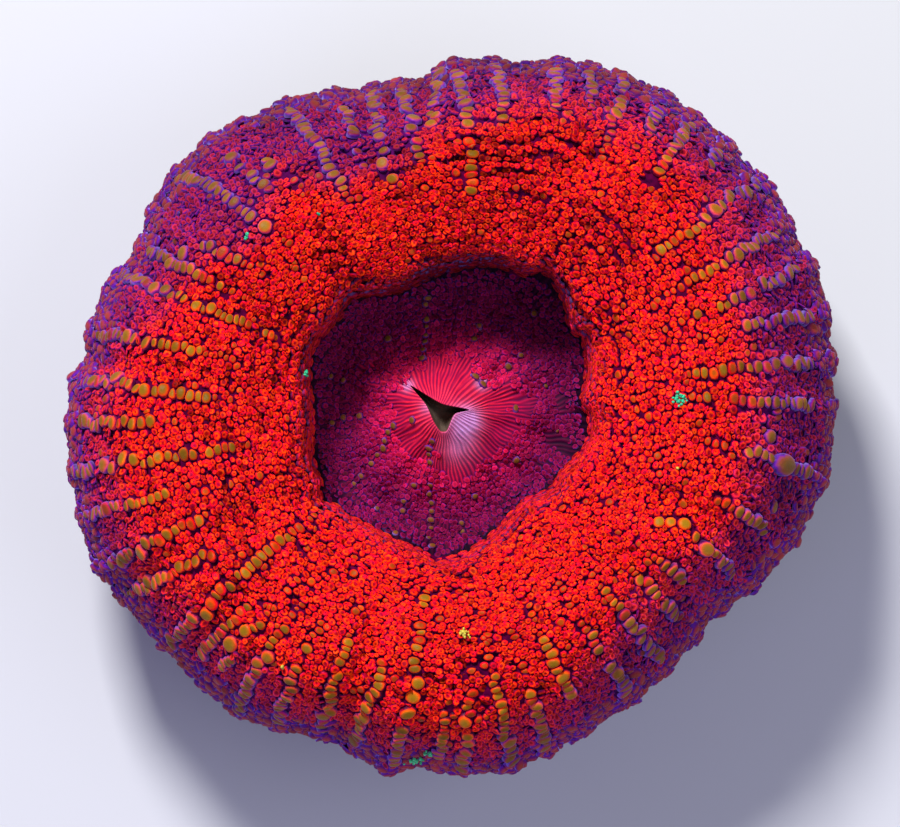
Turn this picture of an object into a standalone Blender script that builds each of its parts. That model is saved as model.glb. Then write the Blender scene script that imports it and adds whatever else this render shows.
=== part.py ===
# Scolymia coral: a solitary stony coral, its inflated flesh and its skeleton in one solid.
# The skeleton's foot is cut off flat where it grew on rock, and the coral rests on that cut.
# Metres, +Z up. The origin is the middle of the flat cut.
import math
import random

import bpy
import numpy as np
from mathutils import Vector
from mathutils.geometry import delaunay_2d_cdt

MM = 0.001

# Driving dimensions
GIRDLE_HEIGHT = 13.8 * MM  # level where the flesh is widest
CONE_HEIGHT = 2.6 * MM  # rise of the oral disc toward the mouth
CONE_WIDTH = 3.4 * MM
MOUTH_DEPTH = 3.0 * MM
MOUTH_CENTRE = (-0.9 * MM, 0.1 * MM)
VIEW_LEAN = 0.122  # sideways step of the readings below for each step up
RIB_DEPTH = 0.45 * MM  # costae, the ribs down the outside of the foot
RIB_COUNT = 60

# Radii by bearing, read from above: (degrees from +X toward +Y, millimetres)
RIM_RADII = [
    (0, 30.9), (10, 31.0), (21, 31.7), (26, 31.2), (37, 31.5), (40, 31.1), (45, 31.4),
    (52, 31.0), (63, 31.0), (70, 30.2), (80, 29.0), (90, 28.6), (93.5, 27.2), (107, 27.1),
    (112, 28.1), (120, 28.7), (132, 29.8), (143, 29.4), (153, 28.3), (159, 29.4), (166, 29.8),
    (172, 29.4), (175, 30.6), (185, 30.8), (203, 31.1), (208, 30.2), (215, 30.0), (221, 29.2),
    (235, 29.6), (245, 28.6), (251, 27.5), (255, 28.4), (259.5, 29.5), (265, 28.3), (278, 29.2),
    (285, 28.4), (295, 27.8), (305, 27.4), (315, 26.8), (319, 26.3), (323, 26.7), (330, 27.9),
    (340, 29.5), (350, 30.6),
]
LIP_RADII = [
    (0, 11.1), (5, 10.5), (15, 11.3), (30, 12.3), (35, 11.7), (45, 12.9), (57, 13.9),
    (60, 12.8), (75, 12.4), (90, 11.6), (110, 10.7), (120, 11.1), (130, 12.4), (140, 11.9),
    (155, 12.3), (175, 11.2), (185, 11.1), (200, 11.8), (208, 11.8), (214, 12.6), (220, 11.9),
    (240, 11.2), (255, 11.3), (266, 12.1), (280, 11.1), (300, 9.7), (310, 9.3), (324, 10.3),
    (330, 10.1), (350, 11.5),
]

# The section from the mouth's middle over the lip and the rim down to the cut:
# (travel along the surface, share of the lip radius, share of the rim radius, step out, height),
# all but the shares in millimetres
SECTION = [
    (0.0, 0.00, 0.00, 0.0, 14.6),
    (5.2, 0.45, 0.00, 0.0, 14.3),
    (10.2, 0.90, 0.00, 0.0, 13.9),
    (11.5, 1.00, 0.00, -0.4, 14.7),
    (14.6, 1.00, 0.00, 0.1, 17.8),
    (18.0, 1.00, 0.00, 0.0, 21.2),
    (19.9, 0.97, 0.03, 0.0, 23.0),
    (21.5, 0.90, 0.10, 0.0, 24.1),
    (24.0, 0.77, 0.23, 0.0, 25.2),
    (27.5, 0.58, 0.42, 0.0, 26.1),
    (30.0, 0.44, 0.56, 0.0, 26.1),
    (33.0, 0.28, 0.72, 0.0, 24.8),
    (36.6, 0.15, 0.85, 0.0, 22.0),
    (40.7, 0.05, 0.95, 0.0, 18.2),
    (45.2, 0.00, 1.00, 0.0, 13.8),
    (48.1, 0.00, 1.00, -0.7, 11.0),
    (50.9, 0.00, 1.00, -2.8, 9.2),
    (54.3, 0.00, 1.00, -6.0, 8.9),
    (57.3, 0.00, 0.72, 0.0, 7.0),
    (61.3, 0.00, 0.64, 0.0, 3.4),
    (64.8, 0.00, 0.60, 0.0, 0.0),
]
DISC_EDGE_TRAVEL = 10.2
LIP_TRAVEL = 18.0
RIM_TRAVEL = 45.2
FOOT_TRAVEL = 57.3
LOWER_TRAVELS = [48.1, 50.9, 54.3, 57.3, 61.3, 64.8]

# Furrows that part the flesh into broad lobes: (bearing, half width in degrees, depth in mm)
FURROWS = [
    (63.0, 4.0, 0.5), (94.0, 3.5, 0.8), (107.0, 6.0, 1.3), (153.0, 4.5, 0.8), (172.0, 3.0, 0.4),
    (208.0, 3.5, 0.6), (223.0, 3.0, 0.5), (251.0, 3.5, 0.8), (286.0, 5.0, 0.7), (319.0, 5.0, 1.0),
    (337.0, 4.0, 0.8),
]

# Rows of blister-like vesicles, each from the rim inward:
# (bearing at the rim end, radius there, bearing at the inner end, radius there)
VESICLE_ROWS = [
    (1.0, 28.4, 3.3, 20.3), (8.0, 28.7, 9.0, 19.6), (15.0, 29.4, 16.3, 24.0),
    (22.7, 29.6, 21.7, 20.8), (29.4, 29.8, 28.8, 21.6), (36.8, 30.6, 37.4, 21.1),
    (44.2, 29.8, 44.0, 28.2), (50.5, 29.9, 49.5, 25.2), (55.9, 29.0, 55.0, 27.5),
    (63.0, 30.2, 61.0, 26.6), (67.8, 29.3, 66.5, 27.9), (73.0, 28.6, 71.5, 26.0),
    (82.7, 28.2, 80.0, 23.6), (89.0, 27.1, 84.5, 17.6), (91.5, 27.4, 93.5, 22.7),
    (98.7, 26.0, 97.0, 20.3), (103.7, 26.3, 104.5, 18.8), (109.0, 25.9, 109.0, 22.7),
    (117.5, 27.5, 115.5, 19.6), (126.0, 24.7, 125.0, 23.7), (130.7, 26.4, 129.2, 22.6),
    (138.7, 28.8, 134.7, 20.7), (145.5, 23.5, 144.2, 20.8), (151.7, 27.1, 150.9, 20.6),
    (157.5, 28.4, 156.2, 15.2), (167.5, 28.6, 166.0, 20.3), (174.7, 28.6, 176.0, 18.7),
    (181.7, 29.0, 182.0, 22.7), (189.0, 30.2, 189.0, 16.4), (196.0, 30.0, 196.0, 23.2),
    (204.2, 29.4, 203.2, 21.1), (209.5, 29.4, 210.7, 21.6), (219.5, 28.6, 217.2, 14.8),
    (224.0, 27.1, 224.0, 21.9), (228.5, 26.8, 228.0, 21.9), (234.7, 29.0, 232.5, 21.2),
    (241.2, 28.2, 239.0, 21.5), (248.5, 27.2, 246.2, 19.6), (253.7, 27.1, 255.0, 20.4),
    (260.7, 28.2, 262.7, 14.4), (268.0, 27.1, 269.5, 24.3), (271.7, 28.0, 274.0, 22.3),
    (280.0, 28.2, 279.2, 20.3), (286.0, 27.5, 285.7, 22.4), (292.5, 24.0, 292.2, 19.2),
    (302.2, 26.0, 302.0, 20.4), (310.0, 25.6, 310.7, 18.4), (317.7, 24.0, 318.7, 20.0),
    (324.0, 22.4, 324.2, 20.0), (330.0, 25.5, 332.7, 21.5), (339.5, 26.3, 341.7, 22.1),
    (350.0, 28.7, 353.2, 22.0),
]
# The largest vesicles, one by one: (bearing, radius, share of the row size)
LARGE_VESICLES = [
    (8.7, 26.7, 1.3), (22.2, 28.2, 1.3), (38.2, 28.2, 1.2), (37.6, 26.3, 1.3), (97.2, 23.5, 1.4),
    (105.0, 20.4, 1.3), (134.7, 20.7, 1.3), (149.0, 24.7, 1.4), (157.2, 25.2, 1.3),
    (174.2, 26.2, 1.3), (188.7, 27.4, 1.4), (188.0, 25.9, 1.5), (204.5, 26.6, 1.4),
    (219.7, 24.7, 1.4), (226.7, 24.3, 1.7), (233.5, 23.9, 1.3), (247.2, 25.9, 1.3),
    (253.7, 27.1, 1.2), (262.0, 23.9, 1.3), (262.7, 22.3, 1.4), (273.0, 26.0, 1.4),
    (280.0, 26.3, 1.3), (310.2, 23.9, 1.4), (331.7, 22.7, 1.4), (334.5, 20.2, 1.5),
    (332.2, 18.4, 1.3), (351.0, 26.8, 1.8), (355.7, 25.4, 1.5), (343.5, 26.8, 1.2),
]
ROW_STEP = 1.8 * MM  # vesicle spacing along a row
VESICLE_WIDTH = 0.88 * MM  # half width around the coral
VESICLE_LENGTH = 0.7 * MM  # half length along the row
VESICLE_RISE = 0.52 * MM
VESICLE_SINK = 0.15 * MM  # the groove round its foot
VESICLE_SIDES = 5
SHOULDER = 0.55  # a dome's flat top, as a share of its foot

# The mouth's slit, and the low bumps on the disc: (x, y) in millimetres
MOUTH_OUTLINE = [
    (-3.2, 2.2), (-2.0, 0.7), (-1.3, -0.8), (-0.8, -1.5), (-0.3, -1.5), (0.4, -0.1), (1.5, 0.2),
    (-0.6, 0.7), (-1.7, 1.3),
]
MOUTH_FLOOR = [(-2.1, 1.15), (-1.0, 0.25), (-0.55, -0.8), (0.4, 0.2)]
DISC_BUMPS = [
    (-2.0, 8.2), (1.9, 5.9), (2.3, 7.1), (6.7, 8.0), (4.9, 3.9), (-5.0, 5.9), (-7.3, -0.3),
    (-9.4, -0.7), (-9.6, 2.7), (-6.3, -4.1), (-7.6, -5.4), (-3.7, -7.0), (-5.9, -7.8), (-1.6, -4.6),
    (-1.6, -7.3), (5.2, 0.3), (5.4, -3.8), (1.8, -6.7), (0.9, -8.9), (-3.7, -1.3),
]
BUMP_RADIUS = 0.5 * MM
BUMP_RISE = 0.4 * MM
BUMP_SIDES = 4

# Spacing of the mesh between the vesicles, and how far every other point stands proud or back
DISC_STEP = 1.75 * MM
WALL_STEP = 1.7 * MM
RING_STEP = 1.66 * MM
DISC_LUMP = 0.12 * MM
WALL_LUMP = 0.2 * MM
RING_LUMP = 0.4 * MM
COLUMN_COUNT = 2 * RIB_COUNT

FLESH_COLOUR = (0.42, 0.012, 0.02, 1.0)
FLESH_ROUGHNESS = 0.35

random.seed(7)


def clear_scene():
    for item in list(bpy.data.objects):
        bpy.data.objects.remove(item, do_unlink=True)


# A radius at a bearing, from a list of readings, with its corners eased
def radius_at(readings, bearing):
    bearings = [reading[0] for reading in readings]
    radii = [reading[1] * MM for reading in readings]
    near = [np.interp(bearing + step, bearings, radii, period=360) for step in (-2, 0, 2)]
    return 0.25 * near[0] + 0.5 * near[1] + 0.25 * near[2]


# The four section values at a travel, on a smooth curve through the stations
def section_at(travel):
    table = np.array(SECTION)
    stations = table[:, 0]
    slopes = np.gradient(table[:, 1:], stations, axis=0)
    travel = min(max(travel, stations[0]), stations[-1])
    low = min(int(np.searchsorted(stations, travel, side="right")) - 1, len(stations) - 2)
    span = stations[low + 1] - stations[low]
    part = (travel - stations[low]) / span
    ease = part * part * (3 - 2 * part)
    leave = part * (1 - part) ** 2 * span
    reach = part * part * (part - 1) * span
    return (table[low, 1:] * (1 - ease) + table[low + 1, 1:] * ease
            + slopes[low] * leave + slopes[low + 1] * reach)


def reading_radius(bearing, travel):
    lip_share, rim_share, step_out, _ = section_at(travel)
    lip = radius_at(LIP_RADII, bearing)
    rim = radius_at(RIM_RADII, bearing)
    return lip_share * lip + rim_share * rim + step_out * MM


# How far the furrows lower the flesh: fully at the crest, and not at all at the lip and the rim
def furrow_depth(bearing, travel):
    part = (travel - LIP_TRAVEL) / (RIM_TRAVEL - LIP_TRAVEL)
    if part <= 0 or part >= 1:
        return 0.0
    total = 0.0
    for middle, half_width, depth in FURROWS:
        aside = (bearing - middle + 180) % 360 - 180
        total += depth * MM * math.exp(-(aside / half_width) ** 2)
    return total * math.sin(math.pi * part)


# The surface before its lumps. A reading leans, so a point above the girdle steps back.
def surface_point(bearing, travel):
    radius = reading_radius(bearing, travel)
    x = radius * math.cos(math.radians(bearing))
    y = radius * math.sin(math.radians(bearing))
    height = section_at(travel)[3] * MM - furrow_depth(bearing, travel)
    if travel < LIP_TRAVEL:
        reach = math.hypot(x - MOUTH_CENTRE[0], y - MOUTH_CENTRE[1])
        height += CONE_HEIGHT * math.exp(-(reach / CONE_WIDTH) ** 2)
    y -= VIEW_LEAN * max(height - GIRDLE_HEIGHT, 0.0)
    return Vector((x, y, height))


def surface_normal(bearing, travel):
    step = 0.4
    along = surface_point(bearing, travel + step) - surface_point(bearing, travel - step)
    around = surface_point(bearing + step, travel) - surface_point(bearing - step, travel)
    return along.cross(around).normalized()


def lifted_point(bearing, travel, rise):
    return surface_point(bearing, travel) + surface_normal(bearing, travel) * rise


# The travel, between the lip and the rim, at which the surface has a radius
def travel_at(bearing, radius):
    travels = np.linspace(LIP_TRAVEL, RIM_TRAVEL, 60)
    radii = [reading_radius(bearing, travel) for travel in travels]
    return float(np.interp(radius, radii, travels))


# The bearing and travel of a point on the oral disc
def disc_place(x, y):
    bearing = math.degrees(math.atan2(y, x))
    edge = reading_radius(bearing, DISC_EDGE_TRAVEL)
    return bearing, DISC_EDGE_TRAVEL * math.hypot(x, y) / edge


# The flat map that keeps small shapes true: distance from its middle for a travel
def make_spread():
    travels = np.arange(1.0, RIM_TRAVEL + 0.05, 0.1)
    radii = np.array([reading_radius(0.0, travel) / MM for travel in travels])
    spread = np.exp(np.cumsum(0.1 / radii))
    return travels, spread / spread[0]


SPREAD_TRAVELS, SPREAD = make_spread()


def map_point(bearing, travel):
    if travel < SPREAD_TRAVELS[0]:
        reach = travel / SPREAD_TRAVELS[0]
    else:
        reach = float(np.interp(travel, SPREAD_TRAVELS, SPREAD))
    return (reach * math.cos(math.radians(bearing)), reach * math.sin(math.radians(bearing)))


# The points of the upper skin, on the flat map and in space
class Skin:
    def __init__(self):
        self.flat = []
        self.solid = []
        self.lumps = []
        self.edges = []

    def add(self, bearing, travel, rise):
        self.flat.append(map_point(bearing, travel))
        self.solid.append(lifted_point(bearing, travel, rise))
        return len(self.flat) - 1

    def add_disc_point(self, x, y, rise):
        bearing, travel = disc_place(x, y)
        self.flat.append(map_point(bearing, travel))
        self.solid.append(surface_point(bearing, travel) + Vector((0, 0, rise)))

    def is_clear(self, point, margin):
        return all((point - centre).length > reach + margin for centre, reach in self.lumps)

    # A flat-topped dome: a ring of feet in a groove, and a smaller ring above it
    def add_dome(self, bearing, travel, width, length, rise, sides):
        self.lumps.append((surface_point(bearing, travel), max(width, length)))
        radius = reading_radius(bearing, travel)
        turn = random.uniform(0, math.pi)
        for share, lift in ((1.0, -VESICLE_SINK), (SHOULDER, rise)):
            for side in range(sides):
                angle = turn + 2 * math.pi * side / sides
                aside = math.degrees(share * width * math.cos(angle) / radius)
                ahead = share * length * math.sin(angle) / MM
                self.add(bearing + aside, travel + ahead, lift)


def add_mouth(skin):
    first = len(skin.flat)
    for x, y in MOUTH_OUTLINE:
        skin.add_disc_point(x * MM, y * MM, 0.0)
    for x, y in MOUTH_FLOOR:
        skin.add_disc_point(x * MM, y * MM, -MOUTH_DEPTH)
    count = len(MOUTH_OUTLINE)
    skin.edges += [(first + k, first + (k + 1) % count) for k in range(count)]
    skin.lumps += [(point.copy(), 0.25 * MM) for point in skin.solid[first:first + count]]
    skin.lumps += [(skin.solid[first + count + k] + Vector((0, 0, MOUTH_DEPTH)), 0.6 * MM)
                   for k in range(len(MOUTH_FLOOR))]


def add_disc_bumps(skin):
    for x, y in DISC_BUMPS:
        bearing, travel = disc_place(x * MM, y * MM)
        skin.add_dome(bearing, travel, BUMP_RADIUS, BUMP_RADIUS, BUMP_RISE, BUMP_SIDES)


def add_vesicle(skin, bearing, radius, share):
    travel = min(travel_at(bearing, radius), RIM_TRAVEL - 1.6 * share)
    width = VESICLE_WIDTH * share
    length = VESICLE_LENGTH * share
    if skin.is_clear(surface_point(bearing, travel), 0.75 * width):
        skin.add_dome(bearing, travel, width, length, VESICLE_RISE * share, VESICLE_SIDES)


def add_vesicle_rows(skin):
    for bearing, radius, share in LARGE_VESICLES:
        add_vesicle(skin, bearing, radius * MM, share)
    for outer_bearing, outer_radius, inner_bearing, inner_radius in VESICLE_ROWS:
        count = max(1, round((outer_radius - inner_radius) * MM / ROW_STEP))
        for k in range(count + 1):
            part = k / count
            bearing = outer_bearing + (inner_bearing - outer_bearing) * part
            radius = outer_radius + (inner_radius - outer_radius) * part
            add_vesicle(skin, bearing, radius * MM, random.uniform(0.8, 1.1))


# Rings of points between the vesicles, every other one proud, which makes the small lumps
def add_filler(skin, first_travel, last_travel, step, lump):
    rings = round((last_travel - first_travel) * MM / step)
    for ring in range(rings + 1):
        travel = first_travel + (last_travel - first_travel) * ring / rings
        count = max(3, round(math.pi * reading_radius(0.0, travel) / step)) * 2
        for k in range(count):
            bearing = 360 * (k + random.uniform(-0.2, 0.2)) / count
            place = travel + random.uniform(-0.2, 0.2) * step / MM
            rise = lump * random.uniform(0.5, 1.0)
            if (k + ring) % 2:
                rise *= -0.4
            if skin.is_clear(surface_point(bearing, place), 0.35 * step):
                skin.add(bearing, place, rise)


def add_rim(skin):
    first = len(skin.flat)
    for k in range(COLUMN_COUNT):
        skin.add(360 * k / COLUMN_COUNT, RIM_TRAVEL, random.uniform(-0.2, 0.2) * MM)
    return first


def make_skin():
    skin = Skin()
    rim_start = add_rim(skin)
    add_mouth(skin)
    add_disc_bumps(skin)
    add_vesicle_rows(skin)
    add_filler(skin, 1.8, DISC_EDGE_TRAVEL, DISC_STEP, DISC_LUMP)
    add_filler(skin, DISC_EDGE_TRAVEL + 1.4, LIP_TRAVEL, WALL_STEP, WALL_LUMP)
    add_filler(skin, LIP_TRAVEL + 1.5, RIM_TRAVEL - 1.4, RING_STEP, RING_LUMP)
    return skin, rim_start


# The skin's triangles, found on the flat map
def skin_faces(skin):
    flat = [Vector(point) for point in skin.flat]
    result = delaunay_2d_cdt(flat, skin.edges, [], 0, 1e-7, True)
    source = [ids[0] for ids in result[3]]
    return [[source[corner] for corner in face] for face in result[2]]


# Rows of quads from the rim down over the hem and the ribbed foot to the flat cut
def add_lower_rows(points, faces, rim_start):
    upper = [rim_start + k for k in range(COLUMN_COUNT)]
    for travel in LOWER_TRAVELS:
        lower = []
        for k in range(COLUMN_COUNT):
            bearing = 360 * k / COLUMN_COUNT
            point = surface_point(bearing, travel)
            outward = Vector((math.cos(math.radians(bearing)), math.sin(math.radians(bearing)), 0))
            if travel >= FOOT_TRAVEL:
                point += outward * RIB_DEPTH * (0.5 if k % 2 else -0.5)
            else:
                point += outward * random.uniform(-0.25, 0.25) * MM
            lower.append(len(points))
            points.append(point)
        for k in range(COLUMN_COUNT):
            after = (k + 1) % COLUMN_COUNT
            faces.append([upper[k], lower[k], lower[after], upper[after]])
        upper = lower
    faces.append(list(reversed(upper)))


# Sets the middle of the outline over the origin
def centre_points(points):
    middle_x = (min(p.x for p in points) + max(p.x for p in points)) / 2
    middle_y = (min(p.y for p in points) + max(p.y for p in points)) / 2
    return [Vector((p.x - middle_x, p.y - middle_y, p.z)) for p in points]


def flesh_material():
    material = bpy.data.materials.new("coral_flesh")
    material.use_nodes = True
    shader = material.node_tree.nodes["Principled BSDF"]
    shader.inputs["Base Color"].default_value = FLESH_COLOUR
    shader.inputs["Roughness"].default_value = FLESH_ROUGHNESS
    shader.inputs["Metallic"].default_value = 0.0
    return material


def make_coral():
    skin, rim_start = make_skin()
    points = list(skin.solid)
    faces = skin_faces(skin)
    add_lower_rows(points, faces, rim_start)
    mesh = bpy.data.meshes.new("coral")
    mesh.from_pydata(centre_points(points), [], faces)
    mesh.update()
    mesh.shade_smooth()
    mesh.materials.append(flesh_material())
    coral = bpy.data.objects.new("coral", mesh)
    bpy.context.scene.collection.objects.link(coral)


clear_scene()
make_coral()
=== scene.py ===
import bpy
import math
import numpy as np
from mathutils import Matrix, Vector, kdtree


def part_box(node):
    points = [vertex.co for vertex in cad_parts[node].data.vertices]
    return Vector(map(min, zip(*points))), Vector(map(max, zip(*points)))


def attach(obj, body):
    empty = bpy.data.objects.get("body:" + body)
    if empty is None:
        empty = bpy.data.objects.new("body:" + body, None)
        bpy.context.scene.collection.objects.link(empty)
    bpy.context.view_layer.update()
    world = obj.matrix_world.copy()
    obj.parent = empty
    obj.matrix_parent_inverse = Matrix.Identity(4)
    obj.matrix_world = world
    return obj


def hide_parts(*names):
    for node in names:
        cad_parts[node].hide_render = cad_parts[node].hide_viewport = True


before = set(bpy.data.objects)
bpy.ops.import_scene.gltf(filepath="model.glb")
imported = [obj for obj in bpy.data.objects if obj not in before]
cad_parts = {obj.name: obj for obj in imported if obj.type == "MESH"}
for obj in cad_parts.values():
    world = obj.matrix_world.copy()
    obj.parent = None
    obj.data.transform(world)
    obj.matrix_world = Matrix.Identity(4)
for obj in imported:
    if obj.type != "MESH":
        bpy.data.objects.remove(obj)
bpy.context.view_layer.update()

mm = 0.001
rng = np.random.default_rng(11)

# The coral's form, as the solid has it: bearings in degrees from +X toward +Y, radii in mm.
# The radii are read looking down a line that leans toward -Y, and plainSurface takes the lean out.
coralForm = {
    "rimRadii": [
        (0, 30.9), (10, 31.0), (21, 31.7), (26, 31.2), (37, 31.5), (40, 31.1), (45, 31.4),
        (52, 31.0), (63, 31.0), (70, 30.2), (80, 29.0), (90, 28.6), (93.5, 27.2), (107, 27.1),
        (112, 28.1), (120, 28.7), (132, 29.8), (143, 29.4), (153, 28.3), (159, 29.4), (166, 29.8),
        (172, 29.4), (175, 30.6), (185, 30.8), (203, 31.1), (208, 30.2), (215, 30.0), (221, 29.2),
        (235, 29.6), (245, 28.6), (251, 27.5), (255, 28.4), (259.5, 29.5), (265, 28.3), (278, 29.2),
        (285, 28.4), (295, 27.8), (305, 27.4), (315, 26.8), (319, 26.3), (323, 26.7), (330, 27.9),
        (340, 29.5), (350, 30.6)],
    "lipRadii": [
        (0, 11.1), (5, 10.5), (15, 11.3), (30, 12.3), (35, 11.7), (45, 12.9), (57, 13.9),
        (60, 12.8), (75, 12.4), (90, 11.6), (110, 10.7), (120, 11.1), (130, 12.4), (140, 11.9),
        (155, 12.3), (175, 11.2), (185, 11.1), (200, 11.8), (208, 11.8), (214, 12.6), (220, 11.9),
        (240, 11.2), (255, 11.3), (266, 12.1), (280, 11.1), (300, 9.7), (310, 9.3), (324, 10.3),
        (330, 10.1), (350, 11.5)],
    # travel along the surface in mm, share of lip radius, share of rim radius, step out, height
    "section": [
        (0.0, 0.00, 0.00, 0.0, 14.6), (5.2, 0.45, 0.00, 0.0, 14.3), (10.2, 0.90, 0.00, 0.0, 13.9),
        (11.5, 1.00, 0.00, -0.4, 14.7), (14.6, 1.00, 0.00, 0.1, 17.8), (18.0, 1.00, 0.00, 0.0, 21.2),
        (19.9, 0.97, 0.03, 0.0, 23.0), (21.5, 0.90, 0.10, 0.0, 24.1), (24.0, 0.77, 0.23, 0.0, 25.2),
        (27.5, 0.58, 0.42, 0.0, 26.1), (30.0, 0.44, 0.56, 0.0, 26.1), (33.0, 0.28, 0.72, 0.0, 24.8),
        (36.6, 0.15, 0.85, 0.0, 22.0), (40.7, 0.05, 0.95, 0.0, 18.2), (45.2, 0.00, 1.00, 0.0, 13.8),
        (48.1, 0.00, 1.00, -0.7, 11.0), (50.9, 0.00, 1.00, -2.8, 9.2), (54.3, 0.00, 1.00, -6.0, 8.9),
        (57.3, 0.00, 0.72, 0.0, 7.0), (61.3, 0.00, 0.64, 0.0, 3.4), (64.8, 0.00, 0.60, 0.0, 0.0)],
    # bearing, half width in degrees, depth in mm of the valleys between the broad lobes
    "furrows": [
        (63.0, 4.0, 0.5), (94.0, 3.5, 0.8), (107.0, 6.0, 1.3), (153.0, 4.5, 0.8), (172.0, 3.0, 0.4),
        (208.0, 3.5, 0.6), (223.0, 3.0, 0.5), (251.0, 3.5, 0.8), (286.0, 5.0, 0.7), (319.0, 5.0, 1.0),
        (337.0, 4.0, 0.8)],
    "lip": 18.0, "rim": 45.2, "cut": 64.8,  # travels
    "girdleHeight": 13.8, "coneHeight": 2.6, "coneWidth": 3.4, "mouth": (-0.9, 0.1),
    "lean": 0.122,
}


def smoothStep(low, high, value):
    part = np.clip((np.asarray(value, float) - low) / (high - low), 0, 1)
    return part * part * (3 - 2 * part)


# Smooth noise from -1 to 1 that repeats each run, at points, with cells of one size
def smoothNoise(points, size, seed):
    cells = np.asarray(points) / size + seed * 7.31
    base = np.floor(cells)
    part = cells - base
    ease = part * part * (3 - 2 * part)
    total = 0.0
    for corner in range(8):
        step = np.array([corner & 1, (corner >> 1) & 1, corner >> 2])
        weight = np.prod(np.where(step == 1, ease, 1 - ease), axis=-1)
        key = np.sin((base + step) @ np.array([12.9898, 78.233, 37.719])) * 43758.5453
        total = total + weight * (key - np.floor(key))
    return total * 2 - 1


def aroundGap(bearing, middle):
    return (bearing - middle + 180) % 360 - 180


def radiusAt(readings, bearing):
    bearings, radii = np.array(readings).T
    near = [np.interp(bearing + step, bearings, radii, period=360) for step in (-2, 0, 2)]
    return 0.25 * near[0] + 0.5 * near[1] + 0.25 * near[2]


def sectionAt(travel):
    table = np.array(coralForm["section"])
    stations = table[:, 0]
    slopes = np.gradient(table[:, 1:], stations, axis=0)
    travel = np.clip(travel, stations[0], stations[-1])
    low = np.clip(np.searchsorted(stations, travel, side="right") - 1, 0, len(stations) - 2)
    span = (stations[low + 1] - stations[low])[..., None]
    part = (travel - stations[low])[..., None] / span
    ease = part * part * (3 - 2 * part)
    return (table[low, 1:] * (1 - ease) + table[low + 1, 1:] * ease
            + slopes[low] * part * (1 - part) ** 2 * span
            + slopes[low + 1] * part * part * (part - 1) * span)


def readingRadius(bearing, travel):
    values = sectionAt(travel)
    lip = radiusAt(coralForm["lipRadii"], bearing)
    rim = radiusAt(coralForm["rimRadii"], bearing)
    return values[..., 0] * lip + values[..., 1] * rim + values[..., 2]


def furrowDepth(bearing, travel):
    part = (travel - coralForm["lip"]) / (coralForm["rim"] - coralForm["lip"])
    total = 0.0
    for middle, halfWidth, depth in coralForm["furrows"]:
        total = total + depth * np.exp(-(aroundGap(bearing, middle) / halfWidth) ** 2)
    return total * np.sin(math.pi * np.clip(part, 0, 1))


# Points of the plain surface, in metres, before it is centred over the origin
def plainSurface(bearing, travel):
    bearing, travel = np.broadcast_arrays(np.asarray(bearing, float), np.asarray(travel, float))
    radius = readingRadius(bearing, travel)
    x = radius * np.cos(np.radians(bearing))
    y = radius * np.sin(np.radians(bearing))
    height = sectionAt(travel)[..., 3] - furrowDepth(bearing, travel)
    mouthX, mouthY = coralForm["mouth"]
    reach = np.hypot(x - mouthX, y - mouthY)
    cone = coralForm["coneHeight"] * np.exp(-(reach / coralForm["coneWidth"]) ** 2)
    height = height + np.where(travel < coralForm["lip"], cone, 0)
    y = y - coralForm["lean"] * np.maximum(height - coralForm["girdleHeight"], 0)
    return np.stack([x, y, height], axis=-1) * mm


outline = plainSurface(np.arange(0, 360, 1.0), coralForm["rim"])
boxLow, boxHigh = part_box("coral")
centreShift = np.array([
    (boxLow.x + boxHigh.x) / 2 - (outline[:, 0].min() + outline[:, 0].max()) / 2,
    (boxLow.y + boxHigh.y) / 2 - (outline[:, 1].min() + outline[:, 1].max()) / 2,
    0.0])


def surfaceAt(bearing, travel):
    return plainSurface(bearing, travel) + centreShift


# The point and the outward, around and upward directions of the surface
def directionsAt(bearing, travel):
    step = 0.3
    along = surfaceAt(bearing, travel + step) - surfaceAt(bearing, travel - step)
    around = surfaceAt(bearing + step, travel) - surfaceAt(bearing - step, travel)
    along = along / np.linalg.norm(along, axis=-1, keepdims=True)
    around = around - along * np.sum(around * along, axis=-1, keepdims=True)
    around = around / np.linalg.norm(around, axis=-1, keepdims=True)
    return surfaceAt(bearing, travel), along, around, np.cross(along, around)


fleshFolds = {
    "sink": 0.24,  # mm, so that the warts' tops lie where the solid's surface is
    "swell": 0.26, "swellSize": 4.5,  # mm, broad soft unevenness
    "crease": 1.1, "creaseGap": 1.6,  # mm, folds that run round parallel to the lip
    # bearing, half width in degrees and strength of the parts where the folds and rows are strong
    "creaseBearings": [(105, 44, 1.0), (205, 40, 0.45), (272, 44, 0.6), (40, 30, 0.5)],
    "ridge": 0.42, "ridgeWidth": 0.95,  # mm, low ridges that the rows of blisters stand on
}


def foldStrength(bearing):
    total = 0.0
    for middle, width, share in fleshFolds["creaseBearings"]:
        total = total + share * np.exp(-(aroundGap(bearing, middle) / width) ** 2)
    return np.clip(total, 0, 1)


# Depth in mm of the creases between the folds
def creaseDepth(bearing, travel):
    points = plainSurface(bearing, travel)
    reach = smoothStep(13, 17, travel) * (1 - smoothStep(29, 36, travel))
    wander = smoothNoise(points, 3.2 * mm, 8) * 1.1 + smoothNoise(points, 8 * mm, 9) * 1.6
    wave = np.abs(np.sin(math.pi * (travel + wander) / fleshFolds["creaseGap"]))
    broken = smoothStep(-0.3, 0.5, smoothNoise(points, 2.6 * mm, 15))
    return (1 - wave) ** 1.8 * fleshFolds["crease"] * foldStrength(bearing) * reach * broken


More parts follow.
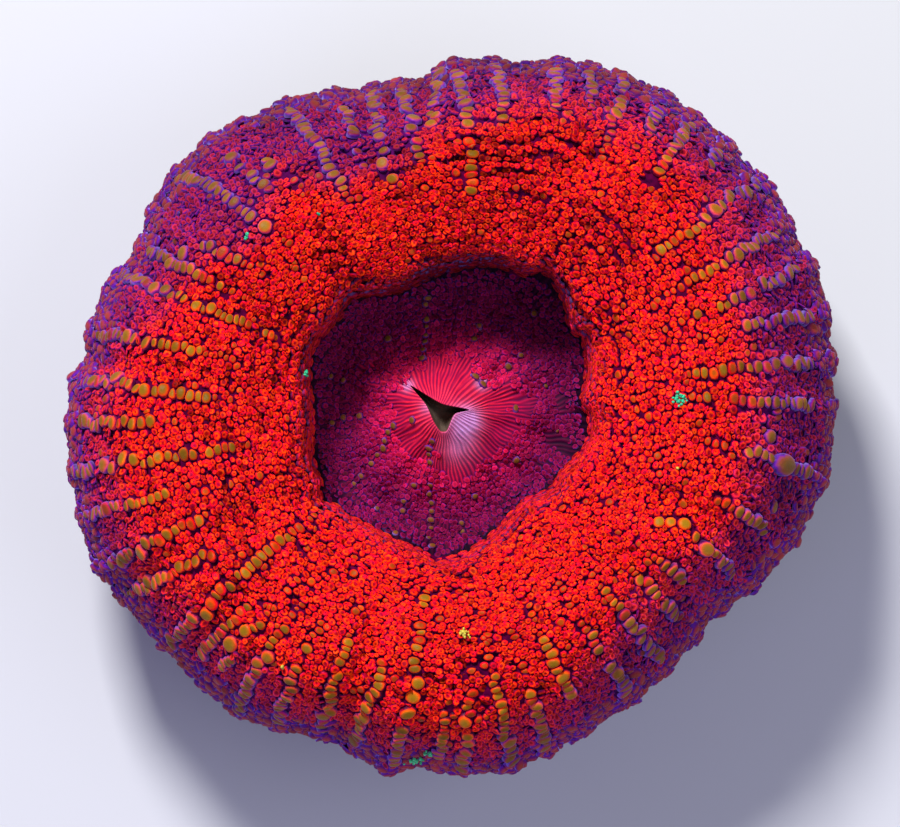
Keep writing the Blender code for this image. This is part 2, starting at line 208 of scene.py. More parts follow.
# 0 in the valleys between the rows of blisters and 1 along the ridges under them
def ridgeShare(bearing, travel):
    radius = readingRadius(bearing, travel)
    total = np.zeros_like(radius)
    for outer, outerRadius, inner, innerRadius in vesicles["rows"]:
        part = np.clip((radius - innerRadius) / (outerRadius - innerRadius), 0, 1.1)
        aside = aroundGap(bearing, inner + (outer - inner) * part) * np.radians(radius)
        reach = smoothStep(innerRadius - 2.5, innerRadius + 1.5, radius)
        total = np.maximum(total, np.exp(-(aside / fleshFolds["ridgeWidth"]) ** 2) * reach)
    return total * (1 - smoothStep(44, 50, travel))


# How far the flesh stands above the plain surface, in mm
def fleshLift(bearing, travel):
    points = plainSurface(bearing, travel)
    swell = smoothNoise(points, fleshFolds["swellSize"] * mm, 3) * fleshFolds["swell"]
    ridge = (ridgeShare(bearing, travel) - 0.45) * fleshFolds["ridge"] * smoothStep(27, 33, travel)
    shape = (swell + ridge - creaseDepth(bearing, travel)) * smoothStep(11, 14, travel)
    return (shape - fleshFolds["sink"]) * (1 - smoothStep(52, 55, travel))


# Where the red flesh turns purple, as a reading radius in mm by bearing
zoneRadii = [
    (0, 23.5), (15, 24.3), (35, 26.0), (52, 27.5), (70, 26.0), (85, 23.3), (95, 22.0), (105, 19.2),
    (116, 19.6), (125, 22.8), (137, 20.8), (150, 22.8), (165, 25.0), (180, 27.6), (212, 27.3),
    (225, 25.9), (250, 25.2), (272, 26.6), (285, 25.0), (300, 22.4), (312, 21.4), (328, 21.8),
    (340, 23.9), (350, 24.0)]


# 0 in the red flesh, 1 in the purple
def zoneAt(bearing, travel):
    edge = np.interp(bearing, *np.array(zoneRadii).T, period=360)
    radius = readingRadius(bearing, travel)
    points = plainSurface(bearing, travel)
    wander = smoothNoise(points, 2.2 * mm, 21) * 0.9 + smoothNoise(points, 0.9 * mm, 22) * 0.6
    beyond = np.maximum(travel - coralForm["rim"], 0)
    return smoothStep(-2.2, 3.0, radius + beyond - edge + wander) * smoothStep(14, 18, travel)


def linearColour(hexText):
    parts = [int(hexText[k:k + 2], 16) / 255 for k in (1, 3, 5)]
    return tuple(p / 12.92 if p <= 0.04045 else ((p + 0.055) / 1.055) ** 2.4 for p in parts) + (1.0,)


# Inputs are values, or sockets to link from. A key such as i6 is the input's number, and any other
# is its name with _ for a space.
def setInputs(tree, node, **inputs):
    for key, value in inputs.items():
        numbered = key[0] == "i" and key[1:].isdigit()
        socket = node.inputs[int(key[1:]) if numbered else key.replace("_", " ")]
        if isinstance(value, bpy.types.NodeSocket):
            tree.links.new(value, socket)
        else:
            socket.default_value = value


# Adds one node with its settings and links
def addNode(tree, kind, settings=None, **inputs):
    node = tree.nodes.new(kind)
    for key, value in (settings or {}).items():
        setattr(node, key, value)
    setInputs(tree, node, **inputs)
    return node


def setRamp(ramp, stops):
    elements = ramp.color_ramp.elements
    while len(elements) > 1:
        elements.remove(elements[-1])
    for number, (place, hexText) in enumerate(stops):
        element = elements[0] if number == 0 else elements.new(place)
        element.position = place
        element.color = linearColour(hexText)
    return ramp.outputs["Color"]


def newMaterial(name):
    material = bpy.data.materials.new(name)
    material.use_nodes = True
    tree = material.node_tree
    return material, tree, tree.nodes["Principled BSDF"]


# A mesh from arrays: points, faces of one size each, and per-point marks for the material
def meshFromArrays(name, points, faceLists, marks, material):
    mesh = bpy.data.meshes.new(name)
    loops = np.concatenate([faces.reshape(-1) for faces in faceLists]).astype(np.int32)
    sizes = np.concatenate([np.full(len(faces), faces.shape[1]) for faces in faceLists])
    starts = np.concatenate([[0], np.cumsum(sizes)[:-1]]).astype(np.int32)
    mesh.vertices.add(len(points))
    mesh.vertices.foreach_set("co", np.asarray(points, np.float32).reshape(-1))
    mesh.loops.add(len(loops))
    mesh.loops.foreach_set("vertex_index", loops)
    mesh.polygons.add(len(sizes))
    mesh.polygons.foreach_set("loop_start", starts)
    mesh.polygons.foreach_set("use_smooth", np.full(len(sizes), True))
    mesh.update(calc_edges=True)
    layer = mesh.attributes.new("marks", "FLOAT_COLOR", "POINT")
    layer.data.foreach_set("color", np.asarray(marks, np.float32).reshape(-1))
    mesh.materials.append(material)
    piece = bpy.data.objects.new(name, mesh)
    bpy.context.scene.collection.objects.link(piece)
    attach(piece, "root")
    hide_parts("coral")
    print(f"{name}: {int(np.sum(sizes - 2))} triangles")


# A sheet of quads over rows and columns of points, closed round its columns
def wrapFaces(rows, columns):
    row, column = np.meshgrid(np.arange(rows - 1), np.arange(columns), indexing="ij")
    after = (column + 1) % columns
    upper = row * columns
    lower = upper + columns
    return np.stack([upper + column, lower + column, lower + after, upper + after], -1).reshape(-1, 4)


# Warts or blisters packed side by side. Each spreads until it meets its neighbours, with a bigger
# one taking more room, so that their outlines fit together as cells do.
class PackedCells:
    def __init__(self, point, along, around, up, width, length):
        self.point, self.along, self.around, self.up = point, along, around, up
        self.width, self.length = width, length  # mm, the most that each spreads
        self.reach = (width + length) / 2
        tree = kdtree.KDTree(len(point))
        for number, place in enumerate(point):
            tree.insert(Vector(place), number)
        tree.balance()
        neighbours = 13  # with the cell itself
        self.near = np.array([[hit[1] for hit in tree.find_n(Vector(p), neighbours)] for p in point])

    # How far the chosen cells spread toward each of their sides, in mm
    def spread(self, chosen, sides, gap):
        near = self.near[chosen]
        away = (self.point[near] - self.point[chosen][:, None]) / mm
        ahead = np.einsum("ijk,ik->ij", away, self.along[chosen])
        aside = np.einsum("ijk,ik->ij", away, self.around[chosen])
        square = ahead ** 2 + aside ** 2
        half = (square + self.reach[chosen][:, None] ** 2 - self.reach[near] ** 2) / 2
        angle = 2 * math.pi * np.arange(sides) / sides
        toward = ahead[..., None] * np.cos(angle) + aside[..., None] * np.sin(angle)
        other = (square > 1e-6)[..., None] & (toward > 1e-3)
        free = 99.0  # mm, where no neighbour stands on that side
        limit = np.where(other, half[..., None] / np.maximum(toward, 1e-3) - gap, free)
        limit = np.maximum(limit, 0.25 * self.reach[chosen][:, None, None])
        most = 1 / np.sqrt((np.cos(angle) / self.length[chosen][:, None]) ** 2
                           + (np.sin(angle) / self.width[chosen][:, None]) ** 2)
        sharpness = 8.0  # a lower one rounds the cells' corners more
        return (np.sum(limit ** -sharpness, axis=1) + most ** -sharpness) ** (-1 / sharpness)

    # One mesh of the chosen cells. The profile gives a crown point and rings of points, as shares
    # of each cell's spread and of its height, and its last ring sinks into the flesh. Joined cells
    # keep their height and colour on two sides, mostly round the coral, so that a row of them runs
    # together into a wandering fold. Each is tilted a little its own way, so that one edge stands
    # above the next. Lean moves a cell's top away from the middle, as a share of its height.
    # Marks: 0 at the crown to 1 at the edge, the zone, the tone, and 1 on the side away from the middle.
    def dress(self, name, chosen, height, profile, sides, material, zone, tone, lean=0.0,
              gap=0.0, joined=0.0, tilt=0.0):
        count = len(chosen)
        spread = self.spread(chosen, sides, gap)
        slopes = rng.normal(0, 1, (2, count, 1)) * np.broadcast_to(tilt, count)[:, None]
        crown = rng.uniform(0, 0.3, (count, 1))
        turn = rng.normal(0, 0.8, (count, 1))
        point, along, around, up = (v[chosen][:, None] for v in (
            self.point, self.along, self.around, self.up))
        angle = 2 * math.pi * np.arange(sides) / sides
        joined = np.broadcast_to(joined, count)[:, None] * np.sin(angle + turn) ** 2
        lift = (height * profile[0][1])[:, None, None] * mm
        points = [point + up * lift + along * lift * lean]
        marks = [np.stack([crown[:, 0], zone, tone, np.full(count, 0.5)], -1)[:, None]]
        for share, rise in profile[1:]:
            ahead = spread * np.cos(angle) * share
            aside = spread * np.sin(angle) * share
            lift = height[:, None] * (rise + (0.9 - rise) * joined * share)
            lift = (lift + ahead * slopes[0] + aside * slopes[1])[..., None] * mm
            points.append(point + up * lift + along * (ahead[..., None] * mm + lift * lean)
                          + around * aside[..., None] * mm)
            marks.append(np.stack(np.broadcast_arrays(
                crown + (1 - crown) * share * (1 - 0.42 * joined), zone[:, None], tone[:, None],
                (0.5 + 0.5 * np.cos(angle))[None]), -1))
        points = np.concatenate(points, axis=1)
        marks = np.concatenate(marks, axis=1)
        side = np.arange(sides)
        after = (side + 1) % sides
        cap = np.stack([np.zeros(sides, int), 1 + side, 1 + after], -1)
        bands = [np.stack([1 + r * sides + side, 1 + (r + 1) * sides + side,
                           1 + (r + 1) * sides + after, 1 + r * sides + after], -1)
                 for r in range(len(profile) - 2)]
        offsets = (np.arange(count) * points.shape[1])[:, None, None]
        faceLists = [(cap[None] + offsets).reshape(-1, 3),
                     (np.concatenate(bands)[None] + offsets).reshape(-1, 4)]
        meshFromArrays(name, points.reshape(-1, 3), faceLists, marks.reshape(-1, 4), material)


# Living tissue over the skeleton, soft and matte. In the red and purple flesh its colours are
# near-black, painted shade for the gaps between the warts.
fleshSkin = {
    "columns": 280, "rows": 66,
    "first": 10.8, "last": 58.0,  # travels
    "sink": 0.05,  # mm
    "speckle": 1400.0,  # 0.7 mm
    # in the red flesh and in the purple, both near-black as painted shade, and at the hem under the rim
    "colours": [[(0.3, "#22001e"), (0.7, "#560030")], [(0.3, "#2c0440"), (0.7, "#540a5c")],
                [(0.25, "#4a2c64"), (0.75, "#8268a0")]],
}


def skinMaterial():
    material, tree, shader = newMaterial("tissueUnderlayerGapShade")
    marks = addNode(tree, "ShaderNodeAttribute", {"attribute_name": "marks"})
    parts = addNode(tree, "ShaderNodeSeparateColor", Color=marks.outputs["Color"])
    place = addNode(tree, "ShaderNodeTexCoord")
    speckle = addNode(tree, "ShaderNodeTexNoise", Vector=place.outputs["Object"],
                      Scale=fleshSkin["speckle"], Detail=3.0)
    redColour, purpleColour, hemColour = [
        setRamp(addNode(tree, "ShaderNodeValToRGB", Fac=speckle.outputs["Fac"]), stops)
        for stops in fleshSkin["colours"]]
    upper = addNode(tree, "ShaderNodeMix", {"data_type": "RGBA"}, i0=parts.outputs["Green"],
                    i6=redColour, i7=purpleColour)
    whole = addNode(tree, "ShaderNodeMix", {"data_type": "RGBA"}, i0=parts.outputs["Blue"],
                    i6=upper.outputs[2], i7=hemColour)
    bump = addNode(tree, "ShaderNodeBump", Height=speckle.outputs["Fac"], Strength=0.5,
                   Distance=0.0002)
    setInputs(tree, shader, Base_Color=whole.outputs[2], Roughness=0.7, IOR=1.38,
              Specular_IOR_Level=0.03, Normal=bump.outputs["Normal"])
    return material


def makeFleshSkin():
    rows, columns = fleshSkin["rows"], fleshSkin["columns"]
    travel = np.linspace(fleshSkin["first"], fleshSkin["last"], rows)[:, None]
    bearing = (360 * np.arange(columns) / columns)[None, :]
    bearing, travel = np.broadcast_arrays(bearing, travel)
    point, _, _, up = directionsAt(bearing, travel)
    under = smoothStep(49, 53, travel)
    lift = fleshLift(bearing, travel) - fleshSkin["sink"]
    lift = lift + under * smoothNoise(point, 1.6 * mm, 31) * 0.18
    points = (point + up * (lift * mm)[..., None]).reshape(-1, 3)
    unused = np.zeros_like(lift)
    marks = np.stack([unused, zoneAt(bearing, travel), under, unused], -1).reshape(-1, 4)
    meshFromArrays("flesh_skin", points, [wrapFaces(rows, columns)], marks, skinMaterial())


# Colours across a wart or blister: one ramp in the red flesh and one in the purple. In the purple
# flesh a painted lavender rim highlight lies near the edge, on the side away from the middle.
def tissueColour(tree, marks, ramps, grainScale, valueRange, rimHighlightShare):
    parts = addNode(tree, "ShaderNodeSeparateColor", Color=marks.outputs["Color"])
    place = addNode(tree, "ShaderNodeTexCoord")
    grain = addNode(tree, "ShaderNodeTexNoise", Vector=place.outputs["Object"], Scale=grainScale,
                    Detail=2.0)
    shift = addNode(tree, "ShaderNodeMath", {"operation": "MULTIPLY_ADD"}, i0=grain.outputs["Fac"],
                    i1=0.34, i2=-0.17)
    ring = addNode(tree, "ShaderNodeMath", {"operation": "ADD"}, i0=parts.outputs["Red"],
                   i1=shift.outputs[0])
    red, purple = [setRamp(addNode(tree, "ShaderNodeValToRGB", Fac=ring.outputs[0]), stops)
                   for stops in ramps]
    mixed = addNode(tree, "ShaderNodeMix", {"data_type": "RGBA"}, i0=parts.outputs["Green"],
                    i6=red, i7=purple)
    # Each one is a little lighter or darker by its tone mark, which for the warts also holds painted
    # shade, and a little nearer orange or crimson
    value = addNode(tree, "ShaderNodeMapRange", Value=parts.outputs["Blue"], To_Min=valueRange[0],
                    To_Max=valueRange[1])
    hue = addNode(tree, "ShaderNodeMapRange", Value=grain.outputs["Fac"], From_Min=0.3, From_Max=0.7,
                  To_Min=0.49, To_Max=0.508)
    varied = addNode(tree, "ShaderNodeHueSaturation", Hue=hue.outputs[0], Saturation=1.0,
                     Value=value.outputs[0], Color=mixed.outputs[2])
    # painted lavender rim highlight: near the edge, on the side away from the middle, in the purple
    # flesh
    side = addNode(tree, "ShaderNodeMath", {"operation": "MULTIPLY_ADD"}, i0=marks.outputs["Alpha"],
                   i1=0.22, i2=0.78)
    outward = addNode(tree, "ShaderNodeMath", {"operation": "MULTIPLY"}, i0=side.outputs[0],
                      i1=parts.outputs["Red"])
    paintedRimHighlight = addNode(tree, "ShaderNodeMapRange", Value=outward.outputs[0], From_Min=0.76, From_Max=0.92,
                   To_Max=rimHighlightShare)
    pale = addNode(tree, "ShaderNodeMath", {"operation": "MULTIPLY"}, i0=paintedRimHighlight.outputs[0],
                   i1=parts.outputs["Green"])
    withRimHighlight = addNode(tree, "ShaderNodeMix", {"data_type": "RGBA"}, i0=pale.outputs[0],
                    i6=varied.outputs[0], i7=linearColour("#a88cf0"))
    return withRimHighlight.outputs[2]


# Wet living tissue, finished from its piece's own dictionary: a fine unevenness breaks up the soft
# shine that the water gives it. A noise scale counts cells in a metre.
def tissueMaterial(name, look, ramps):
    material, tree, shader = newMaterial(name)
    marks = addNode(tree, "ShaderNodeAttribute", {"attribute_name": "marks"})
    colour = tissueColour(tree, marks, ramps, look["grain"], look["value"], look["pale"])
    place = addNode(tree, "ShaderNodeTexCoord")
    scale, depth = look["bump"]
    grain = addNode(tree, "ShaderNodeTexNoise", Vector=place.outputs["Object"], Scale=scale,
                    Detail=2.0)
    bump = addNode(tree, "ShaderNodeBump", Height=grain.outputs["Fac"], Strength=1.0, Distance=depth)
    setInputs(tree, shader, Base_Color=colour, IOR=1.38, Normal=bump.outputs["Normal"],
              **look["finish"])
    if "Emission_Strength" in look["finish"]:
        tree.links.new(colour, shader.inputs["Emission Color"])
    return material


# Papillae: taut red warts with a sunken top. The bright orange edge round the top is a painted
# highlight, and their dark sides are painted shade
papillae = {
    "width": 0.42, "length": 0.4, "height": 0.3,  # mm, half width, half length and height
    "profile": [(0, 0.5), (0.56, 1.0), (0.84, 0.7), (1.0, -0.1)],
    "sides": 7, "perPiece": 5600, "gap": -0.09, "tilt": 0.4,
    # the rows: travel, gap between rows and gap in a row, in mm
    "rows": [(11.9, 0.46, 0.85), (16, 0.44, 0.7), (19, 0.41, 0.46), (30, 0.42, 0.47),
             (34, 0.4, 0.43), (39, 0.41, 0.44), (42, 0.56, 0.6), (44.5, 0.66, 0.72),
             (51.4, 0.84, 0.9)],
    "grain": 2600.0, "bump": (4500.0, 0.00007),  # 0.38 mm, and 0.22 mm with its depth in metres
    # pale is how far the painted lavender rim highlight shows
    "value": (0.2, 1.1), "pale": 0.3,  # darkest and lightest one, and how far lavender shows
    # the red has a faint painted glow, which also lifts it in the shaded gaps
    "finish": {"Roughness": 0.5, "Specular_IOR_Level": 0.06, "Emission_Strength": 0.07},
    # centre, then toward the edge: in the red flesh and in the purple. The bright band near 0.56 is a
    # painted highlight on the raised rim, and the dark last stops are painted shade in the gaps
    "colours": [
        [(0.0, "#8c021a"), (0.38, "#b20416"), (0.56, "#ff3802"), (0.68, "#f41804"), (0.84, "#8e0228"),
         (0.98, "#2c0030")],
        [(0.0, "#5c0a28"), (0.38, "#740c2c"), (0.56, "#b0203c"), (0.7, "#7c1458"), (0.86, "#500c6c"),
         (0.98, "#280440")]],
}


# Olive and amber vesicles: thin-walled blisters swollen with water, smooth and flat-topped, with a
# soft lavender sheen where light grazes them and a painted lavender rim highlight on the outer side
vesicles = {
    # bearing and reading radius at the rim end, then at the inner end
    "rows": [
        (1.0, 28.4, 3.3, 20.3), (8.0, 28.7, 9.0, 19.6), (15.0, 29.4, 16.3, 24.0),
        (22.7, 29.6, 21.7, 20.8), (29.4, 29.8, 28.8, 21.6), (36.8, 30.6, 37.4, 21.1),
        (44.2, 29.8, 44.0, 28.2), (50.5, 29.9, 49.5, 25.2), (55.9, 29.0, 55.0, 27.5),
        (63.0, 30.2, 61.0, 26.6), (67.8, 29.3, 66.5, 27.9), (73.0, 28.6, 71.5, 26.0),
        (82.7, 28.2, 80.0, 23.6), (89.0, 27.1, 84.5, 17.6), (91.5, 27.4, 93.5, 22.7),
        (98.7, 26.0, 97.0, 20.3), (103.7, 26.3, 104.5, 18.8), (109.0, 25.9, 109.0, 22.7),
        (117.5, 27.5, 115.5, 19.6), (126.0, 24.7, 125.0, 23.7), (130.7, 26.4, 129.2, 22.6),
        (138.7, 28.8, 134.7, 20.7), (145.5, 23.5, 144.2, 20.8), (151.7, 27.1, 150.9, 20.6),
        (157.5, 28.4, 156.2, 15.2), (167.5, 28.6, 166.0, 20.3), (174.7, 28.6, 176.0, 18.7),
        (181.7, 29.0, 182.0, 22.7), (189.0, 30.2, 189.0, 16.4), (196.0, 30.0, 196.0, 23.2),
        (204.2, 29.4, 203.2, 21.1), (209.5, 29.4, 210.7, 21.6), (219.5, 28.6, 217.2, 14.8),
        (224.0, 27.1, 224.0, 21.9), (228.5, 26.8, 228.0, 21.9), (234.7, 29.0, 232.5, 21.2),
        (241.2, 28.2, 239.0, 21.5), (248.5, 27.2, 246.2, 19.6), (253.7, 27.1, 255.0, 20.4),
        (260.7, 28.2, 262.7, 14.4), (268.0, 27.1, 269.5, 24.3), (271.7, 28.0, 274.0, 22.3),
        (280.0, 28.2, 279.2, 20.3), (286.0, 27.5, 285.7, 22.4), (292.5, 24.0, 292.2, 19.2),
        (302.2, 26.0, 302.0, 20.4), (310.0, 25.6, 310.7, 18.4), (317.7, 24.0, 318.7, 20.0),
        (324.0, 22.4, 324.2, 20.0), (330.0, 25.5, 332.7, 21.5), (339.5, 26.3, 341.7, 22.1),
        (350.0, 28.7, 353.2, 22.0)],
    # bearing, reading radius, half width and half length in mm, brightness
    "large": [
        (8.7, 26.7, 0.8, 0.62, .6), (22.2, 28.2, 0.85, 0.62, .6), (38.2, 28.2, 0.75, 0.55, .5),
        (37.6, 26.3, 0.85, 0.62, .6), (97.2, 23.5, 0.8, 0.8, .7), (105.0, 20.4, 0.7, 0.62, .9),
        (134.7, 20.7, 0.7, 0.7, .9), (149.0, 24.7, 0.8, 0.72, .7), (157.2, 25.2, 0.85, 0.62, .6),
        (174.2, 26.2, 0.85, 0.66, .6), (188.7, 27.4, 0.9, 0.72, .7), (188.0, 25.9, 0.95, 0.62, .8),
        (204.5, 26.6, 0.9, 0.78, .8), (219.7, 24.7, 0.85, 0.7, .7), (226.7, 25.0, 0.8, 0.9, .7),
        (226.9, 23.5, 0.7, 0.72, .7), (233.5, 23.9, 0.8, 0.62, .6), (247.2, 25.9, 0.8, 0.7, .6),
        (253.7, 27.1, 0.75, 0.85, .5), (262.0, 23.9, 0.9, 0.66, .9), (262.6, 22.6, 0.85, 0.62, .9),
        (263.2, 21.4, 0.85, 0.56, .8), (273.0, 26.0, 0.72, 0.7, .7), (280.0, 26.3, 0.9, 0.7, .6),
        (310.2, 23.9, 0.8, 0.56, .7), (331.7, 22.7, 0.8, 0.8, .7), (334.5, 20.3, 0.72, 0.62, 1.),
        (333.4, 19.2, 0.62, 0.56, 1.), (332.2, 18.4, 0.66, 0.6, 1.), (351.0, 26.6, 0.95, 1.75, .5),
        (355.7, 25.4, 0.8, 0.72, .6), (343.5, 26.8, 0.7, 0.62, .5), (272.6, 24.3, 0.7, 0.62, .7)],
    "width": (0.58, 1.02), "length": (0.34, 0.54),  # mm, half sizes from the smallest to the largest
    "height": 0.36,
    "profile": [(0, 1.0), (0.42, 0.98), (0.68, 0.88), (0.86, 0.64), (0.96, 0.3), (1.0, -0.3)],
    "sides": 12, "gap": -0.02, "tilt": 0.16,
    "faint": 190,  # small amber ones scattered over the red flesh
    "grain": 1500.0, "bump": (3000.0, 0.00005),  # 0.67 mm, and 0.33 mm with its depth in metres
    # pale is how far the painted lavender rim highlight shows
    "value": (0.6, 1.3), "pale": 0.5,
    "finish": {"Roughness": 0.45, "Specular_IOR_Level": 0.12, "Sheen_Weight": 0.2,
               "Sheen_Roughness": 0.3, "Sheen_Tint": linearColour("#b8a0f0")},
    # centre, then toward the edge: in the red flesh and in the purple. In both the dark last stops are
    # painted shade in the gaps, and the violet band near the edge of the purple one is a painted rim
    # highlight
    "olive": [
        [(0.0, "#70540a"), (0.5, "#7e5608"), (0.72, "#a05206"), (0.87, "#e84404"), (0.95, "#900818"),
         (1.0, "#3c0028")],
        [(0.0, "#664a12"), (0.5, "#744a18"), (0.74, "#84422c"), (0.86, "#7e2c60"), (0.94, "#5c1890"),
         (1.0, "#300850")]],
    # amber ones, the same way: the dark last stops are painted shade, and the violet band in the purple
    # ramp is a painted rim highlight
    "amber": [
        [(0.0, "#843a04"), (0.5, "#9a3c04"), (0.72, "#cc3002"), (0.87, "#e81a04"), (0.95, "#840418"),
         (1.0, "#380024")],
        [(0.0, "#682c14"), (0.5, "#742c1a"), (0.72, "#7c2038"), (0.86, "#701060"), (0.94, "#500c80"),
         (1.0, "#2c0648")]],
}


def travelForRadius(bearing, radius):
    travels = np.linspace(coralForm["lip"], coralForm["rim"] + 2.0, 150)
    radii = readingRadius(np.full_like(travels, bearing), travels)
    return float(np.interp(radius, np.maximum.accumulate(radii), travels))


# Columns: bearing, travel, half width, half length, brightness, and 1 for an amber one
def vesiclePlaces():
    places = [(bearing, travelForRadius(bearing, radius), width, length, tone, 0)
              for bearing, radius, width, length, tone in vesicles["large"]]
    large = np.array([surfaceAt(p[0], p[1]) for p in places])
    for outer, outerRadius, inner, innerRadius in vesicles["rows"]:
        start = travelForRadius(outer, outerRadius)
        end = travelForRadius(inner, innerRadius)
        travel = start
        last = end - rng.uniform(0.5, 5.0)
        while travel > last:
            part = (start - travel) / max(start - end, 0.1)
            size = rng.random() * (1 - 0.45 * min(part, 1.0))
            width = vesicles["width"][0] + size * (vesicles["width"][1] - vesicles["width"][0])
            length = vesicles["length"][0] + size * (vesicles["length"][1] - vesicles["length"][0])
            bearing = outer + (inner - outer) * part + rng.uniform(-0.5, 0.5)
            gaps = np.linalg.norm(large - surfaceAt(bearing, travel), axis=1)
            free = np.all(gaps > [(0.8 * (p[2] + p[3]) / 2 + 0.7 * length) * mm for p in
                                  places[:len(large)]])
            # past a row's inner end there are smaller amber ones here and there
            beyond = travel < end - 0.2
            amber = beyond or rng.random() < 0.06 + 0.2 * part ** 2
            if free and rng.random() > (0.45 if beyond else 0.04 + 0.08 * part):
                share = 0.72 if beyond else 1.0
                places.append((bearing, travel, width * share, length * share,
                               rng.uniform(0.1, 0.85), int(amber)))
            travel -= 1.5 * length
    for _ in range(vesicles["faint"]):
        size = rng.uniform(0.36, 0.5)
        places.append((rng.uniform(0, 360), rng.uniform(21, 38), size, size * rng.uniform(0.75, 1),
                       rng.uniform(0.2, 0.8), 1))
    return np.array(places)


# Rim vesicles: overlapping scales down the outside, maroon and brown, with a painted lavender rim
# highlight at their edges
rimScales = {
    "start": 39.5,  # travel where the papillae give way to scales
    "width": (0.4, 0.9), "length": (0.36, 0.66), "height": 0.26,  # mm
    "profile": [(0, 1.0), (0.5, 0.95), (0.8, 0.66), (1.0, -0.2)],
    "sides": 8, "gap": -0.05, "tilt": 0.2,
    "grain": 1800.0, "bump": (3500.0, 0.00007),  # 0.56 mm, and 0.29 mm with its depth in metres
    # pale is how far the painted lavender rim highlight shows
    "value": (0.4, 1.4), "pale": 0.8,
    "finish": {"Roughness": 0.5, "Specular_IOR_Level": 0.1, "Sheen_Weight": 0.25,
               "Sheen_Roughness": 0.25, "Sheen_Tint": linearColour("#b094ff")},
    # centre, then toward the edge: in the red flesh and in the purple. The dark last stops are painted
    # shade in the gaps, and the violet band near the edge of the purple one is a painted rim highlight
    "colours": [
        [(0.0, "#8c1c10"), (0.5, "#9c200e"), (0.7, "#b41c18"), (0.86, "#700a3c"), (1.0, "#340228")],
        [(0.0, "#742a20"), (0.5, "#7c2826"), (0.7, "#741c40"), (0.84, "#500c5c"), (0.92, "#4c1484"),
         (1.0, "#30064c")]],
}


# Rows of places from the inner wall down to the hem, each with its row's gaps in mm
def wartPlaces():
    stations, rowGaps, neighbourGaps = np.array(papillae["rows"]).T
    bearings, travels = [], []
    travel = stations[0]
    while travel < stations[-1]:
        middle = float(np.mean(readingRadius(np.arange(0, 360, 5.0), np.full(72, travel))))
        gap = np.interp(travel, stations, neighbourGaps)
        rowGap = np.interp(travel, stations, rowGaps)
        count = int(2 * math.pi * middle / gap)
        bearing = 360 * (np.arange(count) + rng.random()) / count
        loose = 0.4 - 0.24 * foldStrength(bearing)
        bearings.append(bearing + rng.uniform(-0.36, 0.36, count) * 360 / count)
        travels.append(travel + rng.uniform(-1, 1, count) * loose * rowGap)
        travel += rowGap
    bearing, travel = np.concatenate(bearings), np.concatenate(travels)
    points = plainSurface(bearing, travel)
    travel = travel + (smoothNoise(points, 2.4 * mm, 41) * 0.34
                       + smoothNoise(points, 6.0 * mm, 42) * 0.5) * smoothStep(13, 16, travel)
    return bearing, travel


# 1 on the far inner wall, which shows its front in the photograph, and 0 on the near one
def facingShare(bearing):
    return np.exp(-(aroundGap(bearing, 95) / 55) ** 2)


